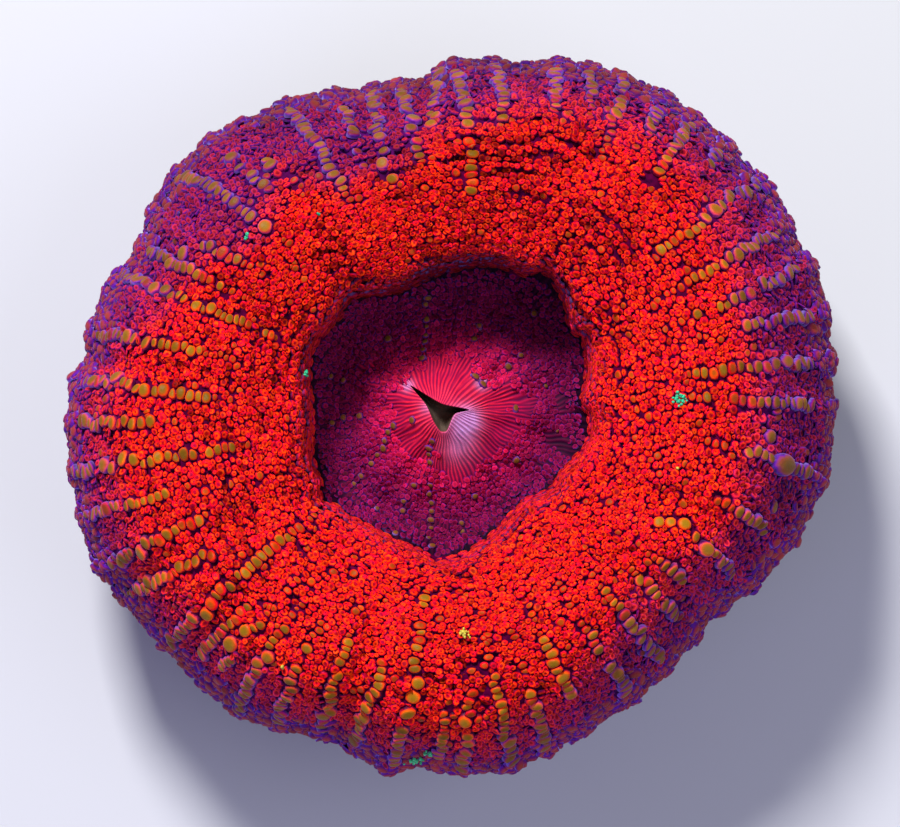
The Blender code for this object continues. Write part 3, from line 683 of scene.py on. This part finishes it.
# The papillae, the vesicles and the scales of the rim, placed together so that they share the room
def makeWarts(oliveTissue):
    blisters = vesiclePlaces()
    bearing, travel = wartPlaces()
    count = len(bearing)
    start = rimScales["start"] + smoothNoise(plainSurface(bearing, travel), 3 * mm, 43) * 1.4
    isRim = rng.random(count) < smoothStep(-1.5, 2.5, travel - start)
    size = rng.random(count) ** 1.5
    width = papillae["width"] * (0.8 + 0.5 * size)
    rowed = foldStrength(bearing) * (1 - smoothStep(32, 37, travel))
    length = papillae["length"] * (0.8 + 0.5 * size) * (1 - 0.24 * rowed)
    # down the inner wall they are long low folds that lie round the wall
    facing = facingShare(bearing)
    width = width * (1 + (0.3 + 0.8 * facing) * (1 - smoothStep(16, 19.5 + facing, travel)))
    # here and there the warts draw apart and the dark between them shows
    sparse = smoothStep(0.2, 0.6, smoothNoise(plainSurface(bearing, travel), 0.9 * mm, 44))
    length = length * (1 - 0.22 * sparse * (1 - smoothStep(32, 36, travel)))
    small = 1 - 0.12 * smoothStep(33, 36, travel)
    rimWidth, rimLength = (rimScales[k][0] + size * (rimScales[k][1] - rimScales[k][0])
                           for k in ("width", "length"))
    width = np.where(isRim, rimWidth, width * small)
    length = np.where(isRim, rimLength, length * small)
    # warts give way where a blister stands
    points = surfaceAt(bearing, travel)
    places, ahead, aside, _ = directionsAt(blisters[:, 0], blisters[:, 1])
    tree = kdtree.KDTree(len(blisters))
    for number, place in enumerate(places):
        tree.insert(Vector(place), number)
    tree.balance()
    keep = np.ones(count, bool)
    for number, point in enumerate(points):
        for _, other, _ in tree.find_range(Vector(point), 2.0 * mm):
            away = (point - places[other]) / mm
            reach = math.hypot(away @ aside[other] / (0.8 * blisters[other, 2] + 0.15),
                               away @ ahead[other] / (0.8 * blisters[other, 3] + 0.15))
            keep[number] &= reach > 1
    bearing, travel, width, length, isRim = (v[keep] for v in (bearing, travel, width, length, isRim))
    kinds = np.concatenate([np.where(blisters[:, 5] > 0, 3, 1), np.where(isRim, 2, 0)])
    bearing = np.concatenate([blisters[:, 0], bearing])
    travel = np.concatenate([blisters[:, 1], travel])
    width = np.concatenate([blisters[:, 2], width])
    length = np.concatenate([blisters[:, 3], length])
    point, along, around, up = directionsAt(bearing, travel)
    crease = creaseDepth(bearing, travel)
    point = point + up * (fleshLift(bearing, travel) * mm)[:, None]
    cells = PackedCells(point, along, around, up, width, length)
    wall = 1 - smoothStep(17.5, 21.5, travel)
    facing = facingShare(bearing)
    # toward crimson down the inner wall, most on the far one: partly the wall's own colour and partly
    # painted shade
    zone = np.maximum(zoneAt(bearing, travel), wall * (0.25 + 0.4 * facing))
    # painted shade and light in the tone: darker in the creases, down the inner wall (most on the far
    # one) and between the rows of blisters, lighter on the ridges under them; the noise and the random
    # term are the flesh's own uneven tone
    cloud = smoothNoise(point, 1.8 * mm, 45) * 0.1 + smoothNoise(point, 6 * mm, 46) * 0.08
    outer = smoothStep(30, 36, travel)
    # painted shade and light by side: darker on the far side, lighter on the outer slope of the near
    # side
    side = 0.02 - 0.22 * facing * (1 - outer) + (0.2 - 0.56 * facing) * smoothStep(33, 42, travel)
    cloud = cloud + 0.16 * outer * (ridgeShare(bearing, travel) - 0.6) - wall * (0.2 + 0.35 * facing)
    tone = np.clip(0.7 + cloud + side + 0.15 * rng.standard_normal(len(bearing)) - crease * 1.3, 0, 1)
    tone[:len(blisters)] = blisters[:, 4]
    tall = rng.uniform(0.75, 1.2, len(bearing))

    amberTissue = tissueMaterial("amberBlisterTissue", vesicles, vesicles["amber"])
    for kind, name, material in ((1, "olive_vesicles", oliveTissue),
                                 (3, "amber_vesicles", amberTissue)):
        chosen = np.flatnonzero(kinds == kind)
        height = vesicles["height"] * (0.3 + 0.95 * cells.reach[chosen])
        cells.dress(name, chosen, height, vesicles["profile"], vesicles["sides"], material,
                    zone[chosen], tone[chosen], lean=0.15, gap=vesicles["gap"],
                    tilt=vesicles["tilt"])
    chosen = np.flatnonzero(kinds == 2)
    material = tissueMaterial("maroonRimTissue", rimScales, rimScales["colours"])
    height = rimScales["height"] * tall[chosen] * cells.reach[chosen] / 0.5
    cells.dress("rim_vesicles", chosen, height, rimScales["profile"], rimScales["sides"],
                material, zone[chosen], tone[chosen], lean=0.35, gap=rimScales["gap"],
                tilt=rimScales["tilt"])
    chosen = np.flatnonzero(kinds == 0)
    chosen = chosen[np.argsort(travel[chosen], kind="stable")]
    material = tissueMaterial("redPapillaTissue", papillae, papillae["colours"])
    groups = np.array_split(chosen, math.ceil(len(chosen) / papillae["perPiece"]))
    for number, group in enumerate(groups):
        tallness = papillae["height"] * tall[group] * (1 - 0.3 * smoothStep(31, 36, travel[group]))
        rowed = foldStrength(bearing[group]) * (1 - smoothStep(30, 35, travel[group]))
        joined = np.clip(0.5 + 0.4 * rowed + 0.3 * wall[group], 0, 0.95)
        cells.dress(f"papillae_{number + 1}", group, tallness, papillae["profile"],
                    papillae["sides"], material, zone[group], tone[group], lean=0.05,
                    gap=papillae["gap"], joined=joined * rng.uniform(0.2, 1.0, len(group)),
                    tilt=papillae["tilt"] * (1 - 0.85 * wall[group]))


# The oral disc: thin wet tissue stretched over the skeleton's blades, which show through it as fine
# light ribs with dark grooves between them, running out from the slit mouth
oralDisc = {
    # the slit's outline in mm, each with the bearing that the ribs from there run to
    "slit": [
        (1.5, 0.2, 5), (-0.6, 0.7, 62), (-1.7, 1.3, 108), (-3.2, 2.2, 141), (-2.0, 0.7, 176),
        (-1.3, -0.8, 222), (-0.8, -1.5, 254), (-0.3, -1.5, 285), (0.4, -0.1, 330)],
    "columns": 560, "rows": 62, "wallRows": 7,
    "depth": 1.9, "ribHeight": 0.12, "ribs": (60, 96, 144), "swellings": 13, "swell": 0.16,  # mm
    "lip": 0.18, "throat": 0.3,  # mm that the slit's lip stands up, and how far its wall draws in
    "edge": 10.2, "slope": 0.62,  # travel where the disc starts to rise to the flesh, and how fast
    "last": 11.6, "overlap": 0.25,  # travel of its hidden outer edge, and mm past that
    # x, y, reach in mm and strength of the bleached places: the lip of the slit and some bumps
    "pale": [(1.0, -0.9, 1.1, 1.0), (1.5, -0.4, 0.8, 0.8), (0.6, -2.6, 1.2, 0.45),
             (-3.4, 2.2, 0.45, 0.7), (2.5, 2.4, 0.5, 0.75), (2.3, 6.9, 0.35, 0.5),
             (-1.9, 0.4, 0.5, 0.35)],
    "cloud": 420.0,  # 2.4 mm
    # from the slit out to the flesh: in the grooves and on the ribs. The change from pink to purple is
    # the disc's own colour; the near-black outer stops are painted shade under the lip
    "groove": [(0.0, "#98103c"), (0.18, "#6c0838"), (0.5, "#3c0430"), (0.85, "#1c021e"),
               (1.0, "#0e0114")],
    "crest": [(0.0, "#ff3c58"), (0.15, "#f42038"), (0.4, "#c80e40"), (0.7, "#7e0a3e"),
              (0.85, "#4c062e"), (1.0, "#200418")],
}


def flatPoints(x, y):
    return np.stack([x, y, x * 0], -1)


def slitPoint(bearing):
    table = np.array(oralDisc["slit"] * 3)
    turns = np.repeat([-360, 0, 360], len(oralDisc["slit"]))
    bearings = table[:, 2] + turns
    tangents = np.gradient(table[:, :2], bearings, axis=0)
    low = np.searchsorted(bearings, bearing, side="right") - 1
    span = bearings[low + 1] - bearings[low]
    part = ((bearing - bearings[low]) / span)[..., None]
    ease = part * part * (3 - 2 * part)
    bend = part * (1 - part)
    span = span[..., None] * 0.7
    return (table[low, :2] * (1 - ease) + table[low + 1, :2] * ease
            + tangents[low] * bend * (1 - part) * span - tangents[low + 1] * bend * part * span)


# Height of the disc in mm at plan places in mm that lean with the readings
def discHeight(x, y):
    bearing = np.degrees(np.arctan2(y, x))
    radius = np.hypot(x, y)
    edge = oralDisc["edge"]
    travel = edge * radius / readingRadius(bearing, np.full_like(radius, edge))
    height = sectionAt(np.minimum(travel, edge))[..., 3]
    height = height + np.maximum(travel - edge, 0) * oralDisc["slope"]
    mouthX, mouthY = coralForm["mouth"]
    reach = np.hypot(x - mouthX, y - mouthY)
    height = height + coralForm["coneHeight"] * np.exp(-(reach / coralForm["coneWidth"]) ** 2)
    flat = flatPoints(x, y)
    wave = np.cos(np.radians(bearing) * oralDisc["swellings"] + smoothNoise(flat, 4.0, 54) * 2.0)
    swell = oralDisc["swell"] * wave * smoothStep(1.5, 5, radius)
    return height + swell + smoothNoise(flat, 1.8, 55) * 0.14 * smoothStep(1.5, 4, radius)


def discPoint(x, y, height):
    lean = coralForm["lean"] * np.maximum(height - coralForm["girdleHeight"], 0)
    return np.stack([x, y - lean, height], axis=-1) * mm + centreShift


def discSurface(x, y):
    return discPoint(x, y, discHeight(x, y))


def discMaterial():
    material, tree, shader = newMaterial("ribbedDiscTissue")
    marks = addNode(tree, "ShaderNodeAttribute", {"attribute_name": "marks"})
    parts = addNode(tree, "ShaderNodeSeparateColor", Color=marks.outputs["Color"])
    place = addNode(tree, "ShaderNodeTexCoord")
    cloud = addNode(tree, "ShaderNodeTexNoise", Vector=place.outputs["Object"],
                    Scale=oralDisc["cloud"], Detail=4.0)
    drift = addNode(tree, "ShaderNodeMath", {"operation": "MULTIPLY_ADD"}, i0=cloud.outputs["Fac"],
                    i1=0.5, i2=-0.25)
    reach = addNode(tree, "ShaderNodeMath", {"operation": "ADD"}, i0=parts.outputs["Red"],
                    i1=drift.outputs[0])
    groove, crest = [
        setRamp(addNode(tree, "ShaderNodeValToRGB", Fac=reach.outputs[0]), oralDisc[key])
        for key in ("groove", "crest")]
    ribbed = addNode(tree, "ShaderNodeMix", {"data_type": "RGBA"}, i0=parts.outputs["Green"],
                     i6=groove, i7=crest)
    pale = addNode(tree, "ShaderNodeMix", {"data_type": "RGBA"}, i0=parts.outputs["Blue"],
                   i6=ribbed.outputs[2], i7=linearColour("#cfa8ee"))
    throat = addNode(tree, "ShaderNodeMix", {"data_type": "RGBA"}, i0=marks.outputs["Alpha"],
                     i6=pale.outputs[2], i7=linearColour("#54463c"))
    setInputs(tree, shader, Base_Color=throat.outputs[2], Roughness=0.6, IOR=1.38,
              Specular_IOR_Level=0.06)
    return material


# 0 in the grooves and 1 on the ribs, which fork as they run out
def ribWave(bearing, part, x, y):
    flat = flatPoints(x, y)
    warp = smoothNoise(flat, 2.2, 51) * 3.0 + smoothNoise(flat, 0.8, 52) * 1.3
    waves = [0.5 + 0.5 * np.cos(np.radians(bearing + warp) * count + k * 1.7)
             for k, count in enumerate(oralDisc["ribs"])]
    first = smoothStep(0.12, 0.3, part + smoothNoise(flat, 1.2, 53) * 0.08)
    second = smoothStep(0.4, 0.6, part + smoothNoise(flat, 1.2, 56) * 0.1)
    wave = (waves[0] * (1 - first) + waves[1] * first) * (1 - second) + waves[2] * second
    beads = 0.72 + 0.28 * smoothNoise(flat, 0.3, 57)
    return np.clip(wave ** 1.4 * beads, 0, 1)


def makeOralDisc():
    columns, rows, wallRows = oralDisc["columns"], oralDisc["rows"], oralDisc["wallRows"]
    bearing = 360 * np.arange(columns) / columns
    inner = slitPoint(bearing)
    outerRadius = readingRadius(bearing, np.full(columns, oralDisc["last"])) + oralDisc["overlap"]
    outer = np.stack([np.cos(np.radians(bearing)), np.sin(np.radians(bearing))], -1)
    outer = outer * outerRadius[:, None]
    part = (np.linspace(0, 1, rows) ** 1.15)[:, None]
    x = inner[:, 0] + (outer[:, 0] - inner[:, 0]) * part
    y = inner[:, 1] + (outer[:, 1] - inner[:, 1]) * part
    part = np.broadcast_to(part, x.shape)
    ribs = ribWave(np.broadcast_to(bearing, x.shape), part, x, y)
    strength = smoothStep(0.0, 0.08, part)
    lips = oralDisc["lip"] * np.exp(-(part / 0.04) ** 2)
    height = discHeight(x, y) + oralDisc["ribHeight"] * ribs * strength + lips
    pale = np.zeros_like(x)
    for paleX, paleY, reach, share in oralDisc["pale"]:
        pale = pale + share * np.exp(-(np.hypot(x - paleX, y - paleY) / reach) ** 2)
    pale = np.clip(pale, 0, 1) * (0.4 + 0.6 * ribs)
    disc = discPoint(x, y, height)
    discMarks = np.stack([part, ribs, pale, np.zeros_like(part)], -1)
    # the wall of the slit, from its floor up
    middle = np.mean(np.array(oralDisc["slit"])[:, :2], axis=0)
    edgeHeight = discHeight(inner[:, 0], inner[:, 1]) + oralDisc["lip"]
    wall, wallMarks = [], []
    for row in range(wallRows, 0, -1):
        down = row / wallRows
        place = middle + (inner - middle) * (1 - oralDisc["throat"] * down ** 2)
        wall.append(discPoint(place[:, 0], place[:, 1], edgeHeight - oralDisc["depth"] * down ** 0.8))
        wallMarks.append(np.stack([np.zeros(columns), np.full(columns, 0.5), pale[0] * (1 - down),
                                   np.full(columns, float(smoothStep(0.05, 0.4, down)))], -1))
    points = np.concatenate([np.array(wall), disc]).reshape(-1, 3)
    marks = np.concatenate([np.array(wallMarks), discMarks]).reshape(-1, 4)
    points = np.concatenate([points, points[:columns].mean(0)[None]])
    marks = np.concatenate([marks, marks[:1]])
    side = np.arange(columns)
    floor = np.stack([np.full(columns, len(points) - 1), side, (side + 1) % columns], -1)
    meshFromArrays("oral_disc", points, [wrapFaces(rows + wallRows, columns), floor], marks,
                   discMaterial())


# Bumps in files along the disc's ribs, soft magenta tissue that darkens to purple away from the slit,
# with near-black edges that are painted shade in the gaps, and the olive blisters among them
discBumps = {
    # from radius, to radius in mm, and the number of files round
    "files": [(2.8, 4.8, 80), (4.8, 7.0, 112), (7.0, 9.4, 148), (9.4, 12.8, 184)],
    "fileGap": 0.34, "width": 0.3, "length": 0.32, "height": 0.11,  # mm
    "oliveHeight": 0.26,  # mm, of a blister with a half size of 0.35 mm
    "edge": 11.4,  # travel past which there are none
    "profile": [(0, 0.85), (0.55, 1.0), (0.84, 0.66), (1.0, -0.2)], "sides": 7,
    "gap": -0.06, "joined": 0.5, "tilt": 0.3,
    "grain": 3000.0, "bump": (4500.0, 0.00005),  # 0.33 mm, and 0.22 mm with its depth in metres
    # pale is how far the painted lavender rim highlight shows
    "value": (0.4, 1.3), "pale": 0.08,
    "finish": {"Roughness": 0.6, "Specular_IOR_Level": 0.06},
    # centre, then toward the edge: near the slit and far from it. The dark last stops are painted shade
    # in the gaps
    "colours": [
        [(0.0, "#a8043a"), (0.4, "#b8063c"), (0.62, "#e01a44"), (0.82, "#7c0c58"), (0.97, "#2c0434")],
        [(0.0, "#580430"), (0.4, "#640632"), (0.62, "#900c40"), (0.82, "#440c60"), (0.97, "#180224")]],
    # bearing, half width in degrees and share of the parts that are smooth and only ribbed
    "smooth": [(350, 26, 0.5), (75, 30, 0.2), (300, 20, 0.1)],
    # x, y, half width and half length in mm
    "olive": [
        (1.9, 5.9, .42, .3), (2.3, 7.0, .4, .34), (6.7, 8.0, .36, .32), (4.6, 3.7, .42, .36),
        (5.6, 4.6, .4, .34), (-5.0, 5.9, .42, .34), (-7.2, -0.3, .44, .4), (-8.6, -0.4, .42, .36),
        (-9.5, -0.8, .4, .36), (-9.6, 2.9, .34, .3), (-8.6, 2.6, .34, .3), (-6.3, -4.1, .36, .32),
        (-7.1, -5.1, .36, .32), (-7.7, -5.7, .34, .3), (-5.8, -3.4, .3, .26), (-3.7, -7.1, .4, .3),
        (-3.8, -7.9, .36, .28), (-5.9, -7.7, .34, .3), (-4.4, -9.7, .32, .28), (5.2, 0.3, .42, .26),
        (5.3, -3.8, .4, .36), (1.9, -6.7, .42, .32), (0.9, -8.9, .34, .28), (1.0, -9.6, .3, .26),
        (7.6, 2.2, .34, .28), (-3.0, -0.6, .34, .3), (-2.9, -5.8, .3, .26), (8.6, -1.4, .26, .22)],
    # ladders of flat blisters: from x, y to x, y, and how many
    "ladders": [(-1.9, 9.3, -2.1, 4.4, 9), (-1.6, -4.3, -1.6, -10.7, 10), (-1.5, -2.3, -1.7, -3.9, 4),
                (-4.6, -1.0, -5.4, -2.8, 4), (1.9, 2.9, 2.6, 2.3, 3)],
}


def discDirections(x, y):
    step = 0.1
    point = discSurface(x, y)
    radius = np.maximum(np.hypot(x, y), 1e-6)
    outX, outY = x / radius, y / radius
    along = discSurface(x + outX * step, y + outY * step) - point
    around = discSurface(x - outY * step, y + outX * step) - point
    along = along / np.linalg.norm(along, axis=-1, keepdims=True)
    around = around / np.linalg.norm(around, axis=-1, keepdims=True)
    up = np.cross(along, around)
    return point, along, around, up / np.linalg.norm(up, axis=-1, keepdims=True)


def makeDiscBumps(oliveTissue):
    olive = [list(entry) for entry in discBumps["olive"]]
    for x0, y0, x1, y1, count in discBumps["ladders"]:
        for part in np.linspace(0, 1, count):
            if rng.random() < 0.84:
                olive.append([x0 + (x1 - x0) * part + rng.uniform(-0.14, 0.14),
                              y0 + (y1 - y0) * part + rng.uniform(-0.08, 0.08),
                              rng.uniform(0.28, 0.52), rng.uniform(0.18, 0.32)])
    olive = np.array(olive)
    xs, ys = [], []
    for first, last, files in discBumps["files"]:
        for radius in np.arange(first, last, discBumps["fileGap"]):
            bearing = 360 * (np.arange(files) + rng.uniform(-0.2, 0.2, files)) / files
            wander = smoothNoise(flatPoints(bearing / 9, bearing * 0 + radius / 2), 1.0, 62)
            bearing = bearing + wander * 2.2
            place = np.stack([bearing / 7, bearing * 0, bearing * 0 + radius], -1)
            reach = radius + rng.uniform(-0.12, 0.12, files) + smoothNoise(place, 1.0, 61) * 0.3
            xs.append(reach * np.cos(np.radians(bearing)))
            ys.append(reach * np.sin(np.radians(bearing)))
    x, y = np.concatenate(xs), np.concatenate(ys)
    bearing = np.degrees(np.arctan2(y, x))
    edge = readingRadius(bearing, np.full_like(x, discBumps["edge"]))
    reach = np.hypot(x, y)
    gaps = np.hypot(x[:, None] - olive[:, 0], y[:, None] - olive[:, 1]) - olive[:, 2:].mean(1) * 0.75
    flat = flatPoints(x, y)
    chance = smoothStep(3.2, 5.8, reach + smoothNoise(flat, 2.0, 63) * 1.6)
    for middle, width, share in discBumps["smooth"]:
        chance = chance * (1 - share * np.exp(-(aroundGap(bearing, middle) / width) ** 2))
    patch = 0.5 + 0.45 * smoothNoise(flat, 1.1, 64)
    keep = (reach < edge) & (gaps.min(1) > 0.12) & (patch < chance) & (rng.random(len(x)) < 0.96)
    x, y = x[keep], y[keep]
    count = len(x)
    size = rng.uniform(0.75, 1.25, count)
    width = np.concatenate([olive[:, 2], discBumps["width"] * size])
    length = np.concatenate([olive[:, 3], discBumps["length"] * size])
    x, y = np.concatenate([olive[:, 0], x]), np.concatenate([olive[:, 1], y])
    cells = PackedCells(*discDirections(x, y), width, length)
    tone = np.clip(0.5 + 0.2 * rng.standard_normal(len(x)), 0, 1)
    zone = smoothStep(3.5, 8.5, np.hypot(x, y))
    chosen = np.arange(len(olive))
    height = discBumps["oliveHeight"] * cells.reach[chosen] / 0.35
    cells.dress("disc_vesicles", chosen, height, vesicles["profile"], vesicles["sides"],
                oliveTissue, np.ones(len(chosen)), tone[chosen] * 0.5)
    chosen = np.arange(len(olive), len(x))
    material = tissueMaterial("purpleDiscTissue", discBumps, discBumps["colours"])
    cells.dress("disc_bumps", chosen, discBumps["height"] * size, discBumps["profile"],
                discBumps["sides"], material, zone[chosen], tone[chosen],
                gap=discBumps["gap"], joined=discBumps["joined"], tilt=discBumps["tilt"])


# The stony foot: porous aragonite that the coral laid down, chalky and matte, with pores, darker
# grooves between its ribs, and a stain where the flesh ends. It is sawn flat below.
stonyFoot = {
    "columns": 420, "rows": 24, "ribs": 60, "ribDepth": 0.4,  # mm
    "first": 56.0, "sawnRings": (0.93, 0.8, 0.6, 0.35, 0.12),  # travel, and shares of the cut's radius
    "pores": 1700.0, "stain": 260.0,  # 0.6 mm and 3.8 mm
    "bone": [(0.3, "#9a8a72"), (0.5, "#c8bca2"), (0.7, "#ddd4c0")],
    # the grooves are darker and the ribs lighter
    "grooveTint": [(0.0, "#7a6650"), (0.7, "#ffffff")],  # from the grooves to the ribs
}


def footMaterial():
    material, tree, shader = newMaterial("aragoniteSkeleton")
    place = addNode(tree, "ShaderNodeTexCoord")
    marks = addNode(tree, "ShaderNodeAttribute", {"attribute_name": "marks"})
    parts = addNode(tree, "ShaderNodeSeparateColor", Color=marks.outputs["Color"])
    pores = addNode(tree, "ShaderNodeTexVoronoi", Vector=place.outputs["Object"],
                    Scale=stonyFoot["pores"])
    stain = addNode(tree, "ShaderNodeTexNoise", Vector=place.outputs["Object"],
                    Scale=stonyFoot["stain"], Detail=5.0)
    bone = setRamp(addNode(tree, "ShaderNodeValToRGB", Fac=stain.outputs["Fac"]), stonyFoot["bone"])
    grooveTint = setRamp(addNode(tree, "ShaderNodeValToRGB", Fac=parts.outputs["Red"]), stonyFoot["grooveTint"])
    grooved = addNode(tree, "ShaderNodeMix", {"data_type": "RGBA", "blend_type": "MULTIPLY"}, i0=0.75,
                      i6=bone, i7=grooveTint)
    flesh = addNode(tree, "ShaderNodeMix", {"data_type": "RGBA"}, i0=parts.outputs["Green"],
                    i6=grooved.outputs[2], i7=linearColour("#5c3a5c"))
    bump = addNode(tree, "ShaderNodeBump", Height=pores.outputs["Distance"], Strength=0.6,
                   Distance=0.0002)
    setInputs(tree, shader, Base_Color=flesh.outputs[2], Roughness=0.85,
              Normal=bump.outputs["Normal"])
    return material


def makeStonyFoot():
    columns, rows = stonyFoot["columns"], stonyFoot["rows"]
    travel = np.linspace(stonyFoot["first"], coralForm["cut"], rows)[:, None]
    bearing = (360 * np.arange(columns) / columns)[None, :]
    bearing, travel = np.broadcast_arrays(bearing, travel)
    point = surfaceAt(bearing, travel)
    outward = np.stack([np.cos(np.radians(bearing)), np.sin(np.radians(bearing)),
                        np.zeros_like(bearing)], -1)
    wander = smoothNoise(point, 4 * mm, 71) * 0.5
    wave = 0.5 + 0.5 * np.cos(np.radians(bearing) * stonyFoot["ribs"] + wander)
    grains = np.clip(smoothNoise(point, 0.5 * mm, 72), 0, 1) * 0.22
    step = (stonyFoot["ribDepth"] * (wave ** 0.7 - 0.5) + grains * wave) * smoothStep(56.5, 58, travel)
    ring = point + outward * (step * mm)[..., None]
    ring[-1, :, 2] = 0.0
    base = [ring[-1] * np.array([share, share, 0.0]) for share in stonyFoot["sawnRings"]]
    points = np.concatenate([ring, np.array(base)]).reshape(-1, 3)
    marks = np.zeros((rows + len(base), columns, 4))
    marks[:rows, :, 0] = wave
    marks[rows:, :, 0] = np.where(wave[-1] > 0.5, 1.0, 0.25)[None, :]
    marks[:rows, :, 1] = 1 - smoothStep(56.8, 58.6, travel + smoothNoise(point, 1.5 * mm, 73) * 0.6)
    points = np.concatenate([points, [[0.0, 0.0, 0.0]]])
    marks = np.concatenate([marks.reshape(-1, 4), [[0.5, 0, 0, 0]]])
    side = np.arange(columns)
    lastRow = (rows + len(base) - 1) * columns
    middle = np.stack([lastRow + side, np.full(columns, len(points) - 1),
                       lastRow + (side + 1) % columns], -1)
    meshFromArrays("stony_foot", points, [wrapFaces(rows + len(base), columns), middle], marks,
                   footMaterial())


# Specks of filamentous algae caught between the warts: small matte green and yellow grains
algaeSpecks = {
    "size": (0.07, 0.13), "height": (0.1, 0.3),  # mm
    "sides": 7, "gap": -0.1, "cloud": 4000.0,  # 0.25 mm
    # bearing, reading radius, reach in mm, grains and the material's number
    "spots": [(3.1, 18.0, 0.42, 26, 0), (139.1, 21.1, 0.28, 12, 0), (123.7, 18.9, 0.15, 5, 0),
              (264.0, 27.8, 0.7, 26, 1), (266.7, 27.0, 0.5, 16, 1), (273.8, 17.4, 0.42, 18, 2),
              (236.8, 23.9, 0.15, 4, 2), (346.0, 18.3, 0.06, 2, 2), (165.0, 11.9, 0.3, 10, 0)],
    "colours": ["#16a878", "#3cb878", "#b8a830"],
    "profile": [(0, 1.0), (0.7, 0.9), (1.0, 0.6), (0.9, 0.0)],
}


def algaeMaterial(number):
    material, tree, shader = newMaterial(f"filamentAlgae{number + 1}")
    place = addNode(tree, "ShaderNodeTexCoord")
    cloud = addNode(tree, "ShaderNodeTexNoise", Vector=place.outputs["Object"],
                    Scale=algaeSpecks["cloud"])
    value = addNode(tree, "ShaderNodeMapRange", Value=cloud.outputs["Fac"], From_Min=0.3,
                    From_Max=0.7, To_Min=0.55, To_Max=1.25)
    colour = addNode(tree, "ShaderNodeHueSaturation", Value=value.outputs[0],
                     Color=linearColour(algaeSpecks["colours"][number]))
    setInputs(tree, shader, Base_Color=colour.outputs[0], Roughness=0.6)
    return material


def makeAlgae():
    for number in range(len(algaeSpecks["colours"])):
        bearings, travels = [], []
        for bearing, radius, reach, grains, kind in algaeSpecks["spots"]:
            if kind == number:
                travel = travelForRadius(bearing, radius)
                bearings.append(bearing + np.degrees(rng.normal(0, 0.5, grains) * reach / radius))
                travels.append(travel + rng.normal(0, 0.5, grains) * reach)
        bearing, travel = np.concatenate(bearings), np.concatenate(travels)
        count = len(bearing)
        size = rng.uniform(*algaeSpecks["size"], count)
        cells = PackedCells(*directionsAt(bearing, travel), size, size * 1.3)
        height = rng.uniform(*algaeSpecks["height"], count)
        cells.dress(f"algae_specks_{number + 1}", np.arange(count), height, algaeSpecks["profile"],
                    algaeSpecks["sides"], algaeMaterial(number), np.zeros(count),
                    rng.random(count), gap=algaeSpecks["gap"])


# A pale floor under the coral, soft light from the upper left, and a long lens from above
studio = {
    "floor": "#b2b2b6", "floorReach": 1.6, "world": "#e4e8f2", "worldStrength": 0.28,
    "elevation": 83.0, "distance": 0.56, "lens": 280.0, "aim": (-0.00012, 0.00004, 0.0138),
    # name, place in metres, size, power in watts, colour
    "lights": [
        ("keyLight", (-0.12, 0.31, 0.42), 0.11, 4.8, "#ffffff"),
        ("fillLight", (0.34, -0.12, 0.40), 0.40, 1.2, "#e8ecff"),
        ("rimLight", (-0.24, -0.34, 0.20), 0.30, 1.0, "#b4b0ff")],
}


def makeStudio():
    scene = bpy.context.scene
    scene.view_settings.view_transform = "Standard"
    mesh = bpy.data.meshes.new("floor")
    reach = studio["floorReach"]
    mesh.from_pydata([(-reach, -reach, 0), (reach, -reach, 0), (reach, reach, 0), (-reach, reach, 0)],
                     [], [(0, 1, 2, 3)])
    floor = bpy.data.objects.new("floor", mesh)
    scene.collection.objects.link(floor)
    material, tree, shader = newMaterial("paleFloor")
    setInputs(tree, shader, Base_Color=linearColour(studio["floor"]), Roughness=0.7)
    mesh.materials.append(material)
    world = bpy.data.worlds.new("softRoom")
    world.use_nodes = True
    setInputs(world.node_tree, world.node_tree.nodes["Background"],
              Color=linearColour(studio["world"]), Strength=studio["worldStrength"])
    scene.world = world
    for name, place, size, power, hexText in studio["lights"]:
        data = bpy.data.lights.new(name, "AREA")
        data.size = size
        data.energy = power
        data.color = linearColour(hexText)[:3]
        light = bpy.data.objects.new(name, data)
        light.location = place
        light.rotation_euler = (-Vector(place)).to_track_quat("-Z", "Y").to_euler()
        scene.collection.objects.link(light)
    data = bpy.data.cameras.new("camera")
    data.lens = studio["lens"]
    data.sensor_width = 36.0
    data.clip_start = 0.01
    camera = bpy.data.objects.new("camera", data)
    aim = Vector(studio["aim"])
    tilt = math.radians(studio["elevation"])
    camera.location = aim + Vector((0, -math.cos(tilt), math.sin(tilt))) * studio["distance"]
    camera.rotation_euler = (aim - camera.location).to_track_quat("-Z", "Y").to_euler()
    scene.collection.objects.link(camera)
    scene.camera = camera
    print(f"studio: floor, {len(studio['lights'])} lights and the camera")


makeStudio()
makeFleshSkin()
oliveTissue = tissueMaterial("oliveBlisterTissue", vesicles, vesicles["olive"])
makeWarts(oliveTissue)
makeOralDisc()
makeDiscBumps(oliveTissue)
makeStonyFoot()
makeAlgae()
